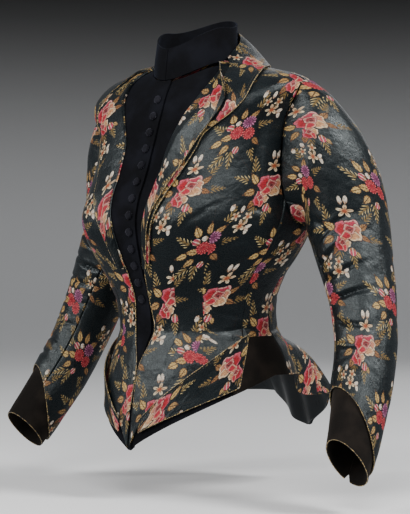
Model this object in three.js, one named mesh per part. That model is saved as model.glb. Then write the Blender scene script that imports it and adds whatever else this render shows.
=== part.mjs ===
// A fitted day bodice of about 1885, as it keeps its shape when worn: brocade fronts with notched lapels over a
// buttoned velvet vest, a standing velvet collar inside a turned-down brocade one, close two-piece sleeves with
// velvet cuffs, pointed basque flaps at the hips, velvet hip panels and a flared tail at the back.
//
// Millimetres. +Z is up, the wearer faces -Y and the wearer's left is +X. The origin is the middle of the neck
// between the tops of the shoulder seams, where the wearer carries the garment.
//
// Every panel is cut out of one of three charts: the trunk, the standing collar and the sleeve. A chart is a stack
// of closed rings, and a point on it is named by an angle round the ring and a level down the stack.
import * as THREE from "three";

// ---------------------------------------------------------------- cloth
const CLOTH = 2.0; // brocade on its lining
const VELVET = 2.0; // velvet on its lining
const SEAM = 0.3; // free space between two pieces at a seam
const UNDER = -(VELVET + 0.9); // inner face of velvet that lies under the brocade
const UNDERMOST = 2 * UNDER; // inner face of the vest edge that lies under the other vest edge
const FALL_LIFT = 1.6; // from the fronts and backs to the turned-down collar that lies on them

const DEG = Math.PI / 180;
const mix = THREE.MathUtils.lerp;
const ease = (value) => THREE.MathUtils.smoothstep(value, 0, 1);
const FULL_TURN = 2 * Math.PI;

// ---------------------------------------------------------------- tables
// Rows of numbers under named columns, read at any level between the rows by a Catmull-Rom curve.
function table(columns, ...rows) {
  return Object.fromEntries(columns.map((name, i) => [name, rows.map((row) => row[i])]));
}

function read(list, level) {
  const last = list.length - 1;
  const i = Math.min(Math.max(Math.floor(level), 0), last - 1);
  const f = level - i;
  const [p1, p2] = [list[i], list[i + 1]];
  const p0 = i > 0 ? list[i - 1] : 2 * p1 - p2;
  const p3 = i + 2 <= last ? list[i + 2] : 2 * p2 - p1;
  return p1 + 0.5 * f * (p2 - p0 + f * (2 * p0 - 5 * p1 + 4 * p2 - p3 + f * (3 * (p1 - p2) + p3 - p0)));
}

// The trunk, from the neck seam down to the hem. frontZ, sideZ and backZ tilt a ring; curve is 1 for an ellipse and
// less for a squarer ring; tailReach and tailDrop draw the tail out and down over a bustle, and tailPoint drops the
// middle of its back further.
const TRUNK_COLUMNS = [
  "halfWidth", "sideY", "frontY", "backY", "frontZ", "sideZ", "backZ", "frontCurve", "backCurve",
  "tailReach", "tailDrop", "tailPoint",
];
const TRUNK = table(
  TRUNK_COLUMNS,
  [57, 2, -57, 55, -21, 3, 15, 1.0, 1.0, 0, 0, 0], // 0 neck seam
  [100, 10, -67, 69, -42, -6, 1, 0.94, 0.95, 0, 0, 0], // 1 yoke
  [170, 25, -80, 87, -78, -28, -42, 0.84, 0.88, 0, 0, 0], // 2 points of the shoulders
  [158, 34, -89, 104, -108, -74, -86, 0.82, 0.84, 0, 0, 0], // 3 upper chest
  [152, 43, -101, 114, -142, -122, -132, 0.8, 0.82, 0, 0, 0], // 4 middle of the armholes
  [150, 47, -114, 113, -176, -168, -172, 0.78, 0.84, 0, 0, 0], // 5 lower chest
  [148, 46, -120, 110, -207, -207, -206, 0.77, 0.88, 0, 0, 0], // 6 bust, foot of the armholes
  [134, 34, -114, 105, -245, -243, -243, 0.81, 0.95, 0, 0, 0], // 7 under the bust
  [119, 17, -106, 101, -274, -272, -273, 0.85, 1.0, 0, 0, 0], // 8 ribs
  [107, 6, -97, 99, -304, -303, -303, 0.92, 1.0, 0, 0, 0], // 9 midriff
  [103, 5, -92, 105, -340, -338, -336, 0.96, 1.0, 0, 0, 0], // 10 waist
  [107, 7, -96, 112, -361, -352, -356, 0.97, 1.0, 10, 0, 0], // 11 top of the basque
  [114, 12, -105, 119, -393, -367, -373, 0.98, 1.0, 38, 0, 0], // 12 high hip
  [120, 16, -115, 126, -443, -385, -392, 1.0, 1.0, 60, 6, 0], // 13 hip
  [125, 19, -122, 131, -496, -401, -408, 1.06, 1.0, 86, 28, 47], // 14 hem
);
const LEVEL = { neck: 0, shoulder: 2, bust: 6, waist: 10, basque: 11, hem: 14 };
const BUST = { halfSpacing: 86, width: 44, level: 5.8, levels: 1.7, fullness: 16 };
// The tail's corners and the places where it leaves the body, as angles from the middle of the back; its pleats are
// soft, and flare widens it as it reaches out.
const TAIL = { corner: 17 * DEG, root: 42 * DEG, dropRoot: 52 * DEG, flare: 0.4, pleat: 11.5 * DEG, pleatDepth: 4.5 };

// Where the seams and edges of the trunk run, one row for each trunk level. The vest and lapel edges are half widths
// in millimetres; the others are angles from the middle of the front.
const SEAMS = table(
  ["vestHalf", "lapelHalf", "sideFront", "sideBack", "back"],
  [56, 57, 82, 110, 118], // 0
  [77, 99, 82, 110, 118], // 1
  [53, 109, 82, 110, 118], // 2
  [41, 88, 82, 110, 119], // 3
  [38, 73, 82, 110, 126], // 4
  [36, 61, 82, 110, 134], // 5
  [30, 46, 81, 110, 141], // 6
  [22, 32, 80, 109, 147], // 7
  [16, 21, 79, 108, 152], // 8
  [14, 19, 79, 107, 157], // 9
  [18, 20, 78, 106, 160], // 10
  [13, 15, 76, 106, 160], // 11
  [2.4, 4, 72, 106, 158], // 12
  [2.6, 4, 67, 106, 154], // 13
  [1.4, 3, 62, 106, 150], // 14
);
// The armhole is an egg in the trunk's chart, from the point of the shoulder to the underarm.
const ARMHOLE = { angle: 92.5, topAngle: 90, front: 13, back: 33, level: 4, halfLevels: 2 };

// The standing collar, from the neck seam to its top edge.
const COLLAR = table(
  TRUNK_COLUMNS,
  [55.8, 2, -56, 53.8, -20.4, 3.6, 15.6, 1.0, 1.0, 0, 0, 0],
  [54, 2, -53.5, 55, 0, 25, 38, 1.0, 1.0, 0, 0, 0],
  [52, 3, -50.5, 57, 21, 48, 64, 1.0, 1.0, 0, 0, 0],
);
const COLLAR_WALL = 2.2;

// The sleeve of the wearer's left arm. Each ring runs through an outer and an inner point, and is halfDepth deep on
// each side, front and back; frontLift raises its front and drops its back. The armhole is the ring before the first.
const SLEEVE = table(
  ["outerX", "outerY", "outerZ", "innerX", "innerY", "innerZ", "halfDepth", "frontLift"],
  [206, 34, -52, 156, 57, -209, 47, 0], // 1 cap
  [234, 48, -98, 158, 63, -217, 51, 0], // 2
  [251, 58, -147, 161, 65, -229, 51, 0], // 3
  [259, 63, -193, 170, 61, -244, 49, 0], // 4 upper arm
  [272, 58, -244, 189, 53, -277, 45, 0], // 5
  [287, 51, -296, 213, 43, -324, 40, 0], // 6 elbow
  [302, 36, -358, 231, 27, -374, 37.5, 0], // 7
  [313, 14, -408, 243, 4, -418, 36, 2], // 8 forearm
  [321, -10, -456, 257, -21, -455, 33, 7], // 9
  [328.5, -36, -506, 269.5, -46, -488, 29, 13], // 10 wrist
);
const SLEEVE_RINGS = SLEEVE.outerX.length;
const SLEEVE_SEAM = { front: 128 * DEG, back: 236 * DEG }; // angles of the two long seams

// ---------------------------------------------------------------- charts
const power = (value, exponent) => Math.sign(value) * Math.abs(value) ** exponent;

// From here down the rings run straight to the point in front instead of curving to it.
const POINT = { from: 9, levels: 4, curve: 1.15 };

// A point of a stack of rings. The angle is 0 at the middle of the front and grows towards the wearer's left.
function ringPoint(stack, angle, level) {
  const [s, c] = [Math.sin(angle), Math.cos(angle)];
  const at = (name) => read(stack[name], level);
  const front = c > 0;
  const curve = at(front ? "frontCurve" : "backCurve");
  const [sideY, sideZ] = [at("sideY"), at("sideZ")];
  const pointed = (1 - Math.abs(Math.asin(s)) / (Math.PI / 2)) ** POINT.curve;
  const dip = front ? mix(c * c, pointed, ease((level - POINT.from) / POINT.levels)) : c * c;
  return new THREE.Vector3(
    at("halfWidth") * power(s, curve),
    sideY + (at(front ? "frontY" : "backY") - sideY) * Math.abs(c) ** curve,
    sideZ + (at(front ? "frontZ" : "backZ") - sideZ) * dip,
  );
}

const bell = (value) => Math.exp(-value * value);

function trunkPoint(angle, level) {
  const point = ringPoint(TRUNK, angle, level);
  if (Math.cos(angle) > 0) {
    const across = bell((Math.abs(point.x) - BUST.halfSpacing) / BUST.width);
    point.y -= BUST.fullness * across * bell((level - BUST.level) / BUST.levels);
  }
  const fromBack = Math.abs(Math.PI - Math.abs(angle));
  if (level > LEVEL.waist && fromBack < TAIL.dropRoot) {
    const at = (name) => Math.max(0, read(TRUNK[name], level));
    const out = at("tailReach") * (1 - THREE.MathUtils.smoothstep(fromBack, TAIL.corner, TAIL.root));
    const pleat = Math.cos((fromBack / TAIL.pleat) * FULL_TURN) * Math.max(0, 1 - fromBack / TAIL.root);
    point.y += out + (TAIL.pleatDepth * pleat * at("tailReach")) / TRUNK.tailReach[LEVEL.hem];
    point.x *= 1 + (TAIL.flare * out) / TRUNK.tailReach[LEVEL.hem];
    point.z -= at("tailDrop") * (1 - THREE.MathUtils.smoothstep(fromBack, TAIL.root * 0.8, TAIL.dropRoot));
    point.z -= at("tailPoint") * Math.max(0, 1 - (fromBack / TAIL.corner) ** 1.5);
  }
  return point;
}

// The armhole as a closed curve: phi is 0 at the point of the shoulder, and a quarter turn at the front.
function armholeChart(phi) {
  const side = Math.sin(phi) > 0 ? ARMHOLE.front : ARMHOLE.back;
  const lean = (ARMHOLE.angle - ARMHOLE.topAngle) * 0.5 * (1 - Math.cos(phi));
  return [
    (ARMHOLE.topAngle + lean - side * Math.sin(phi)) * DEG,
    ARMHOLE.level - ARMHOLE.halfLevels * Math.cos(phi),
  ];
}
// The front (-1) or back (1) edge of the armhole at a level, in degrees.
function armholeEdge(level, side) {
  const down = (level - ARMHOLE.level) / ARMHOLE.halfLevels;
  const phi = Math.acos(Math.min(1, Math.max(-1, -down)));
  return armholeChart(side < 0 ? phi : -phi)[0] / DEG;
}
// The level of the armhole's lower edge at an angle in degrees.
function armholeFoot(degrees) {
  const width = degrees < ARMHOLE.angle ? ARMHOLE.front : ARMHOLE.back;
  const across = (degrees - ARMHOLE.angle) / width;
  return ARMHOLE.level + ARMHOLE.halfLevels * Math.sqrt(Math.max(0, 1 - across * across));
}

const CAP_START = { outward: 1.2, lift: CLOTH + 0.6 }; // where the sleeve's cloth begins, past the armhole's edge

// The two sleeves keep slightly different poses: from the elbow to the wrist each one rises by rise, its outer side
// by tip more than its inner side, and its front by lift more than its back.
const POSE = {
  left: { rise: 0, tip: 0, lift: 0 },
  right: { rise: 6, tip: 20, lift: -4 },
};
function sleeveRingPoint(pose, phi, ring) {
  if (ring === 0) {
    const [angle, level] = armholeChart(phi);
    const start = offsetPoint(trunkPoint, angle, level, CAP_START.lift);
    start.x += CAP_START.outward;
    return start;
  }
  const row = ring - 1;
  const toWrist = (i) => Math.max(0, (i - 5) / (SLEEVE_RINGS - 6)) ** 2;
  const point = (i, end) => {
    const tip = end === "outer" ? pose.tip : -pose.tip;
    const z = SLEEVE[end + "Z"][i] + (pose.rise + tip / 2) * toWrist(i);
    return new THREE.Vector3(SLEEVE[end + "X"][i], SLEEVE[end + "Y"][i], z);
  };
  const middle = (i) => point(i, "outer").add(point(i, "inner")).multiplyScalar(0.5);
  const [before, after] = [Math.max(row - 1, 0), Math.min(row + 1, SLEEVE_RINGS - 1)];
  const along = middle(after).sub(middle(before)).normalize();
  const outward = point(row, "outer").sub(point(row, "inner")).multiplyScalar(0.5);
  const forward = along.cross(outward).normalize().multiplyScalar(SLEEVE.halfDepth[row]);
  if (forward.y > 0) forward.negate();
  forward.z += SLEEVE.frontLift[row] + pose.lift * toWrist(row);
  return middle(row).addScaledVector(outward, Math.cos(phi)).addScaledVector(forward, Math.sin(phi));
}

const armChart = (pose) => (phi, level) => {
  const i = Math.min(Math.max(Math.floor(level), 0), SLEEVE_RINGS - 1);
  const ring = (k) => sleeveRingPoint(pose, phi, Math.min(Math.max(k, 0), SLEEVE_RINGS));
  const rows = [i - 1, i, i + 1, i + 2].map(ring);
  if (i === 0) rows[0] = rows[1].clone().multiplyScalar(2).sub(rows[2]);
  if (i + 2 > SLEEVE_RINGS) rows[3] = rows[2].clone().multiplyScalar(2).sub(rows[1]);
  const axis = (name) => read(rows.map((row) => row[name]), 1 + level - i);
  return new THREE.Vector3(axis("x"), axis("y"), axis("z"));
};

// The point of a chart moved outwards along the surface's normal.
function offsetPoint(chart, a, b, distance) {
  const step = 0.004;
  const alongA = chart(a + step, b).sub(chart(a - step, b));
  const alongB = chart(a, b + step).sub(chart(a, Math.max(b - step, 0)));
  const normal = alongB.cross(alongA).normalize();
  return chart(a, b).addScaledVector(normal, distance);
}

// ---------------------------------------------------------------- walls
// A closed wall from two grids of points: u runs across it, v runs down it. Where u closes on itself it is a tube.
function wallGeometry(across, down, outer, inner, tube = false) {
  const columns = tube ? across : across + 1;
  const positions = [];
  for (const side of [outer, inner]) {
    for (let j = 0; j <= down; j++) {
      for (let i = 0; i < columns; i++) positions.push(...side(i / across, j / down).toArray());
    }
  }
  const layer = columns * (down + 1);
  const vertex = (side, i, j) => side * layer + j * columns + (i % columns);
  const faces = [];
  const quad = (a, b, c, d) => faces.push(a, b, c, a, c, d);
  for (let j = 0; j < down; j++) {
    for (let i = 0; i < across; i++) {
      quad(vertex(0, i, j), vertex(0, i + 1, j), vertex(0, i + 1, j + 1), vertex(0, i, j + 1));
      quad(vertex(1, i, j + 1), vertex(1, i + 1, j + 1), vertex(1, i + 1, j), vertex(1, i, j));
    }
  }
  for (let i = 0; i < across; i++) {
    quad(vertex(1, i, 0), vertex(1, i + 1, 0), vertex(0, i + 1, 0), vertex(0, i, 0));
    quad(vertex(0, i, down), vertex(0, i + 1, down), vertex(1, i + 1, down), vertex(1, i, down));
  }
  for (let j = 0; j < down && !tube; j++) {
    quad(vertex(0, 0, j), vertex(0, 0, j + 1), vertex(1, 0, j + 1), vertex(1, 0, j));
    quad(vertex(1, across, j), vertex(1, across, j + 1), vertex(0, across, j + 1), vertex(0, across, j));
  }
  return closedGeometry(positions, faces);
}

// Turns the faces outwards if they enclose a negative volume.
function closedGeometry(positions, faces) {
  const at = (i) => new THREE.Vector3(...positions.slice(3 * i, 3 * i + 3));
  let volume = 0;
  for (let i = 0; i < faces.length; i += 3) {
    volume += at(faces[i]).dot(at(faces[i + 1]).cross(at(faces[i + 2])));
  }
  if (volume < 0) faces.reverse();
  const geometry = new THREE.BufferGeometry();
  geometry.setAttribute("position", new THREE.Float32BufferAttribute(positions, 3));
  geometry.setIndex(faces);
  geometry.computeVertexNormals();
  return geometry;
}

// A wall cut out of a chart: cut(u, v) gives the angle, the level and how far the cloth is lifted off its bed.
function chartWall(chart, across, down, cut, inner, thickness, { tube = false, mirror = false } = {}) {
  const face = (offset) => (u, v) => {
    const [angle, level, lift = 0] = cut(u, v);
    const point = offsetPoint(chart, angle, level, offset + lift);
    if (mirror) point.x = -point.x;
    return point;
  };
  return wallGeometry(across, down, face(inner + thickness), face(inner), tube);
}

// ---------------------------------------------------------------- edges of the trunk panels, as angles in radians
// Half of a seam's gap and a little more, as an angle at that place.
const SEAM_SHARE = 0.625;
const LEAST_RADIUS = 30;
function seamGap(angle, level) {
  const point = trunkPoint(angle, level);
  return (SEAM * SEAM_SHARE) / Math.max(LEAST_RADIUS, Math.hypot(point.x, point.y));
}
// The angle at which a ring of the trunk is a given width from the middle of the front.
function angleOfHalf(half, level) {
  const share = Math.min(1, Math.max(0, half / read(TRUNK.halfWidth, level)));
  return Math.asin(share ** (1 / read(TRUNK.frontCurve, level)));
}
const vestEdge = (level) => angleOfHalf(Math.max(0.3, read(SEAMS.vestHalf, level)), level);
const lapelEdge = (level) => angleOfHalf(read(SEAMS.lapelHalf, level), level);
const seam = (name) => (level) => read(SEAMS[name], level) * DEG;

// Where the side seam and the back seam meet the armhole.
const SIDE_TOP = armholeFoot(SEAMS.sideFront[5]);
const SIDE_BACK_TOP = armholeFoot(SEAMS.sideBack[5]);
const BACK_TOP = 4.05;
const SHARED_TOP = 6.4; // from here down all panels share their rows, so that they meet edge to edge

const steps = (from, to, count) => Array.from({ length: count }, (_, i) => mix(from, to, i / count));
const armholeRows = (to, count) => {
  const turn = Math.acos(-(to - ARMHOLE.level) / ARMHOLE.halfLevels);
  return steps(0, turn, count).map((phi) => ARMHOLE.level - ARMHOLE.halfLevels * Math.cos(phi));
};
const SHARED_ROWS = [...steps(SHARED_TOP, LEVEL.waist, 5), ...steps(LEVEL.waist, LEVEL.hem, 8), LEVEL.hem];
const BASQUE_ROW = SHARED_ROWS.indexOf(LEVEL.basque);
const FRONT_ROWS = [
  ...steps(LEVEL.neck, LEVEL.shoulder, 4), ...armholeRows(SIDE_TOP, 6), ...steps(SIDE_TOP, SHARED_TOP, 2), ...SHARED_ROWS,
];
const SIDE_BACK_ROWS = [...steps(BACK_TOP, SIDE_BACK_TOP, 4), ...steps(SIDE_BACK_TOP, SHARED_TOP, 2), ...SHARED_ROWS];
const BACK_ROWS = [...steps(LEVEL.neck, LEVEL.shoulder, 4), ...armholeRows(BACK_TOP, 4), ...SIDE_BACK_ROWS];
const rowAt = (rows, v) => rows[Math.round(v * (rows.length - 1))];
const between = (left, right, level, u) =>
  mix(left + seamGap(left, level), right - seamGap(right, level), u);

// The brocade of the front reaches the point, and beside it stops short of the velvet band under it.
const HEM_SHORT = { point: 0.04, side: 0.42, reach: 9 * DEG, from: 12 };
function frontHem(angle, level) {
  const short = mix(HEM_SHORT.point, HEM_SHORT.side, ease(angle / HEM_SHORT.reach));
  return level - short * ease((level - HEM_SHORT.from) / (LEVEL.hem - HEM_SHORT.from));
}

function frontCut(u, v) {
  const level = rowAt(FRONT_ROWS, v);
  let outer = seam("sideFront")(level);
  if (level <= LEVEL.shoulder) outer = 90 * DEG;
  else if (level < SIDE_TOP) outer = armholeEdge(level, -1) * DEG;
  const angle = mix(vestEdge(level), outer - seamGap(outer, level), u);
  return [angle, frontHem(angle, level)];
}

function underarmCut(u, v) {
  const row = Math.round(v * (BASQUE_ROW + 2)) - 2;
  const [left, right] = [seam("sideFront"), seam("sideBack")];
  let level = SHARED_ROWS[Math.max(row, 0)];
  if (row < 0) {
    let top = SIDE_TOP;
    for (let i = 0; i < 8; i++) top = armholeFoot(mix(left(top), right(top), u) / DEG);
    level = mix(top, SHARED_TOP, (row + 2) / 2);
  } else if (row === BASQUE_ROW) level -= 0.01;
  return [between(left(level), right(level), level, u), level];
}

// Velvet basque between the front and the side back, from just below the waist.
function hipCut(u, v) {
  const row = Math.round(v * (SHARED_ROWS.length - 1 - BASQUE_ROW)) + BASQUE_ROW;
  const level = SHARED_ROWS[row] + (row === BASQUE_ROW ? 0.02 : 0);
  return [between(seam("sideFront")(level), seam("sideBack")(level), level, u), level];
}

function sideBackCut(u, v) {
  const level = rowAt(SIDE_BACK_ROWS, v);
  const left = level < SIDE_BACK_TOP ? armholeEdge(level, 1) * DEG : seam("sideBack")(level);
  return [between(left, seam("back")(level), level, u), level];
}

function backCut(u, v) {
  const level = rowAt(BACK_ROWS, v);
  let left = seam("back")(level);
  if (level <= LEVEL.shoulder) left = 90 * DEG;
  else if (level < BACK_TOP) left = armholeEdge(level, 1) * DEG;
  return [between(left, Math.PI, level, u), level];
}

// ---------------------------------------------------------------- materials
const finish = (color, roughness) => new THREE.MeshStandardMaterial({ color, roughness, metalness: 0 });
const BROCADE = finish(0x1d2426, 0.42);
const VELVET_PILE = finish(0x0d0d10, 0.95);
const COVERED = finish(0x17171b, 0.7);
const SATIN = finish(0x101114, 0.35);

const bodice = new THREE.Group();
function sew(name, geometry, material) {
  const mesh = new THREE.Mesh(geometry, material);
  mesh.name = name;
  bodice.add(mesh);
  return mesh;
}

// ---------------------------------------------------------------- trunk
// How far the vest's halves pass the middle and the fronts' edges, above the waist and at the foot.
const VEST = { lap: 10, footLap: 3, tuck: 9, footTuck: 5, footFrom: 10, footLevels: 2 };
const BAND = 0.75; // levels of the hem that the velvet band covers

// Velvet that shows below the brocade of the front, from the vest's foot back to the hip panel.
function hemBand(mirror) {
  const cut = (u, v) => {
    const level = mix(LEVEL.hem - BAND, LEVEL.hem, v);
    const start = angleOfHalf(read(SEAMS.vestHalf, level) + VEST.footTuck + 2 * SEAM, level);
    return [mix(start, seam("sideFront")(level), u), level];
  };
  return chartWall(trunkPoint, 9, 2, cut, UNDER, VELVET, { mirror });
}

// Satin inside the tail.
const LINING = { thickness: 1.2, from: 12.6, edge: 30 * DEG };
function tailLining() {
  const face = (offset) => (u, v) => {
    const turn = mix(-LINING.edge, LINING.edge, u);
    const point = offsetPoint(trunkPoint, Math.PI - Math.abs(turn), mix(LINING.from, LEVEL.hem - 0.02, v), offset);
    point.x *= turn < 0 ? -1 : 1;
    return point;
  };
  return wallGeometry(24, 5, face(UNDER + 1), face(UNDER + 1 - LINING.thickness));
}

// The pointed flap over the hip: its upper edge runs free from the hip down to the point in front.
const FLAP = table(
  ["topAngle", "topLevel", "hemAngle", "lift"],
  [78, 10.95, 66, 7],
  [65, 11.6, 55, 7],
  [52.5, 12.15, 45, 6],
  [41, 12.55, 35, 5],
  [27, 12.95, 24, 3],
  [9, 13.45, 9, 0.6],
);
const FLAP_SHORT = 0.25; // levels between the flap's hem and the hem of the velvet band under it
const FLAP_CLEAR = SEAM + 0.2; // free space under the flap where it lies flat
function basqueFlap(mirror) {
  const cut = (u, v) => {
    const at = (name) => read(FLAP[name], u * (FLAP.lift.length - 1));
    const angle = mix(at("topAngle"), at("hemAngle"), v) * DEG;
    return [angle, mix(at("topLevel"), LEVEL.hem - FLAP_SHORT, v), at("lift") * (1 - v) ** 2];
  };
  return chartWall(trunkPoint, 10, 4, cut, CLOTH + FLAP_CLEAR, CLOTH, { mirror });
}

// The lapel turns back along the edge of the front, from the gorge at the neck to the midriff. It lies on the
// collar's long end, so it is lifted by one more cloth except at its fold, and its outer edge stands away.
const LAPEL = { gorgeInner: 0.12, gorgeOuter: 1.85, foot: 7.6, standsAway: 2.6, rise: 0.35 };
const LAPEL_WIDTH = { fromEdge: 0.3 * DEG, least: 1.5 * DEG };
function lapel(mirror) {
  const cut = (u, v) => {
    const [inside, outside] = [mix(LAPEL.gorgeInner, LAPEL.foot, v), mix(LAPEL.gorgeOuter, LAPEL.foot, v)];
    const fold = vestEdge(inside) + LAPEL_WIDTH.fromEdge;
    const edge = Math.max(lapelEdge(outside), vestEdge(outside) + LAPEL_WIDTH.least);
    const overCollar = (CLOTH + FALL_LIFT + SEAM) * ease(u / LAPEL.rise);
    return [mix(fold, edge, u), mix(inside, outside, u), overCollar + LAPEL.standsAway * u * (1 - v)];
  };
  return chartWall(trunkPoint, 5, 16, cut, CLOTH + SEAM, CLOTH, { mirror });
}

for (const [side, mirror] of [["left", false], ["right", true]]) {
  const panel = (across, down, cut) => chartWall(trunkPoint, across, down, cut, 0, CLOTH, { mirror });
  sew(`front_${side}`, panel(9, FRONT_ROWS.length - 1, frontCut), BROCADE);
  sew(`underarm_${side}`, panel(4, BASQUE_ROW + 2, underarmCut), BROCADE);
  sew(`hip_panel_${side}`, panel(4, SHARED_ROWS.length - 1 - BASQUE_ROW, hipCut), VELVET_PILE);
  sew(`side_back_${side}`, panel(4, SIDE_BACK_ROWS.length - 1, sideBackCut), BROCADE);
  sew(`back_${side}`, panel(9, BACK_ROWS.length - 1, backCut), BROCADE);
  sew(`hem_band_${side}`, hemBand(mirror), VELVET_PILE);
  sew(`basque_flap_${side}`, basqueFlap(mirror), BROCADE);
  sew(`lapel_${side}`, lapel(mirror), BROCADE);
}

// ---------------------------------------------------------------- vest
// The wearer's right half of the vest laps over the left half along the buttons, down to the point in front.
function vestHalf(overlaps) {
  const cut = (u, v) => {
    const level = rowAt(FRONT_ROWS, v);
    const below = ease((level - VEST.footFrom) / VEST.footLevels);
    const lap = angleOfHalf(mix(VEST.lap, VEST.footLap, below), level);
    const edge = Math.max(SEAM, read(SEAMS.vestHalf, level));
    const outer = Math.min(angleOfHalf(edge + mix(VEST.tuck, VEST.footTuck, below), level), 89 * DEG);
    return [mix(-lap, outer, u), level];
  };
  const inner = overlaps ? UNDER : UNDERMOST;
  return chartWall(trunkPoint, 8, FRONT_ROWS.length - 1, cut, inner, VELVET, { mirror: overlaps });
}
sew("tail_lining", tailLining(), SATIN);
sew("vest_right", vestHalf(true), VELVET_PILE);
sew("vest_left", vestHalf(false), VELVET_PILE);

// Covered buttons, one below the other on the overlapping edge.
const BUTTON = { radius: 5.2, height: 4.2, shank: 0.8, count: 13, firstZ: -47, pitch: 21.4 };
function buttonGeometry() {
  const { radius: r, height: h } = BUTTON;
  const profile = [[0, 0], [0.72 * r, 0], [r, 0.35 * h], [0.82 * r, 0.75 * h], [0.42 * r, 0.97 * h], [0, h]];
  return new THREE.LatheGeometry(profile.map(([x, y]) => new THREE.Vector2(x, y)), 10);
}
function levelOfFrontZ(z) {
  let [low, high] = [0, LEVEL.hem];
  for (let i = 0; i < 30; i++) {
    const middle = (low + high) / 2;
    if (trunkPoint(0, middle).z > z) low = middle;
    else high = middle;
  }
  return low;
}
for (let i = 0; i < BUTTON.count; i++) {
  const level = levelOfFrontZ(BUTTON.firstZ - i * BUTTON.pitch);
  const seat = offsetPoint(trunkPoint, 0, level, UNDER + VELVET);
  const out = offsetPoint(trunkPoint, 0, level, 1).sub(trunkPoint(0, level)).normalize();
  const button = sew(`button_${String(i + 1).padStart(2, "0")}`, buttonGeometry(), COVERED);
  button.quaternion.setFromUnitVectors(new THREE.Vector3(0, 1, 0), out);
  button.position.copy(seat.addScaledVector(out, BUTTON.shank));
}

// ---------------------------------------------------------------- collars
const collarPoint = (angle, level) => ringPoint(COLLAR, angle, level);
const COLLAR_FRONT_GAP = 0.5 * DEG;
for (const [side, mirror] of [["left", false], ["right", true]]) {
  const cut = (u, v) => [mix(COLLAR_FRONT_GAP, Math.PI - COLLAR_FRONT_GAP, u), mix(2, 0, v)];
  sew(`collar_stand_${side}`, chartWall(collarPoint, 12, 3, cut, 0, COLLAR_WALL, { mirror }), VELVET_PILE);
}

// The turned-down collar rolls over beside the stand, falls on the shoulders and runs on under the lapels as a
// narrow band. A row for each station from the middle of the back: its inner edge is on the stand where onStand is
// 1, at standAngle and standLevel, and on the trunk where it is 0.
const COLLAR_END = { inside: 9, outside: 3.5 }; // edges of its narrow end, across from the lapel's outer edge
function alongLapel(level) {
  const across = (distance) => angleOfHalf(read(SEAMS.lapelHalf, level) + distance, level) / DEG;
  const tuck = Math.min(COLLAR_END.inside, 0.45 * (read(SEAMS.lapelHalf, level) - read(SEAMS.vestHalf, level)));
  return [0, 60, 0, across(-tuck), level, across(COLLAR_END.outside), level, 0];
}
const FALL = table(
  ["onStand", "standAngle", "standLevel", "innerAngle", "innerLevel", "outerAngle", "outerLevel", "bulge"],
  [1, 179.8, 1.5, 179.8, 0.3, 179.8, 1.2, 5],
  [1, 150, 1.4, 150, 0.3, 150, 1.15, 5],
  [1, 122, 1.0, 122, 0.3, 128, 1.1, 4.5],
  [1, 100, 0.6, 100, 0.3, 109, 1.06, 4],
  [0.6, 86, 0.25, 84, 0.3, 84, 1.3, 3],
  [0, 80, 0.1, 65, 0.9, 60, 1.72, 0],
  [0, 70, 0, 43, 1.55, 47.5, 2.16, 0],
  ...[2.75, 3.4, 4.2, 5.1, 6.1, 7.5].map(alongLapel),
);
const FALL_CLEAR = 3.2; // from the stand's outer face to the collar's inner face
const ROLL = { outward: 0.5, upward: 0.85 }; // which way the roll bulges
function fallPoint(along, across) {
  const at = (name) => read(FALL[name], along);
  const bed = (share) => {
    const angle = mix(at("innerAngle"), at("outerAngle"), share) * DEG;
    return offsetPoint(trunkPoint, angle, mix(at("innerLevel"), at("outerLevel"), share), CLOTH + FALL_LIFT);
  };
  const outer = bed(1);
  const rolled = offsetPoint(collarPoint, at("standAngle") * DEG, Math.max(0.02, at("standLevel")), -FALL_CLEAR);
  const up = new THREE.Vector3(outer.x - rolled.x, outer.y - rolled.y, 0).normalize();
  up.multiplyScalar(ROLL.outward).setZ(ROLL.upward);
  rolled.lerp(outer, across).addScaledVector(up, Math.max(0, at("bulge")) * Math.sin(Math.PI * across));
  return bed(across).lerp(rolled, Math.min(1, Math.max(0, at("onStand"))));
}
for (const [side, mirror] of [["left", false], ["right", true]]) {
  const cut = (u, v) => [mix(0.01, FALL.bulge.length - 1, u), v];
  sew(`collar_fall_${side}`, chartWall(fallPoint, 24, 4, cut, 0, -CLOTH, { mirror }), BROCADE);
}

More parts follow.
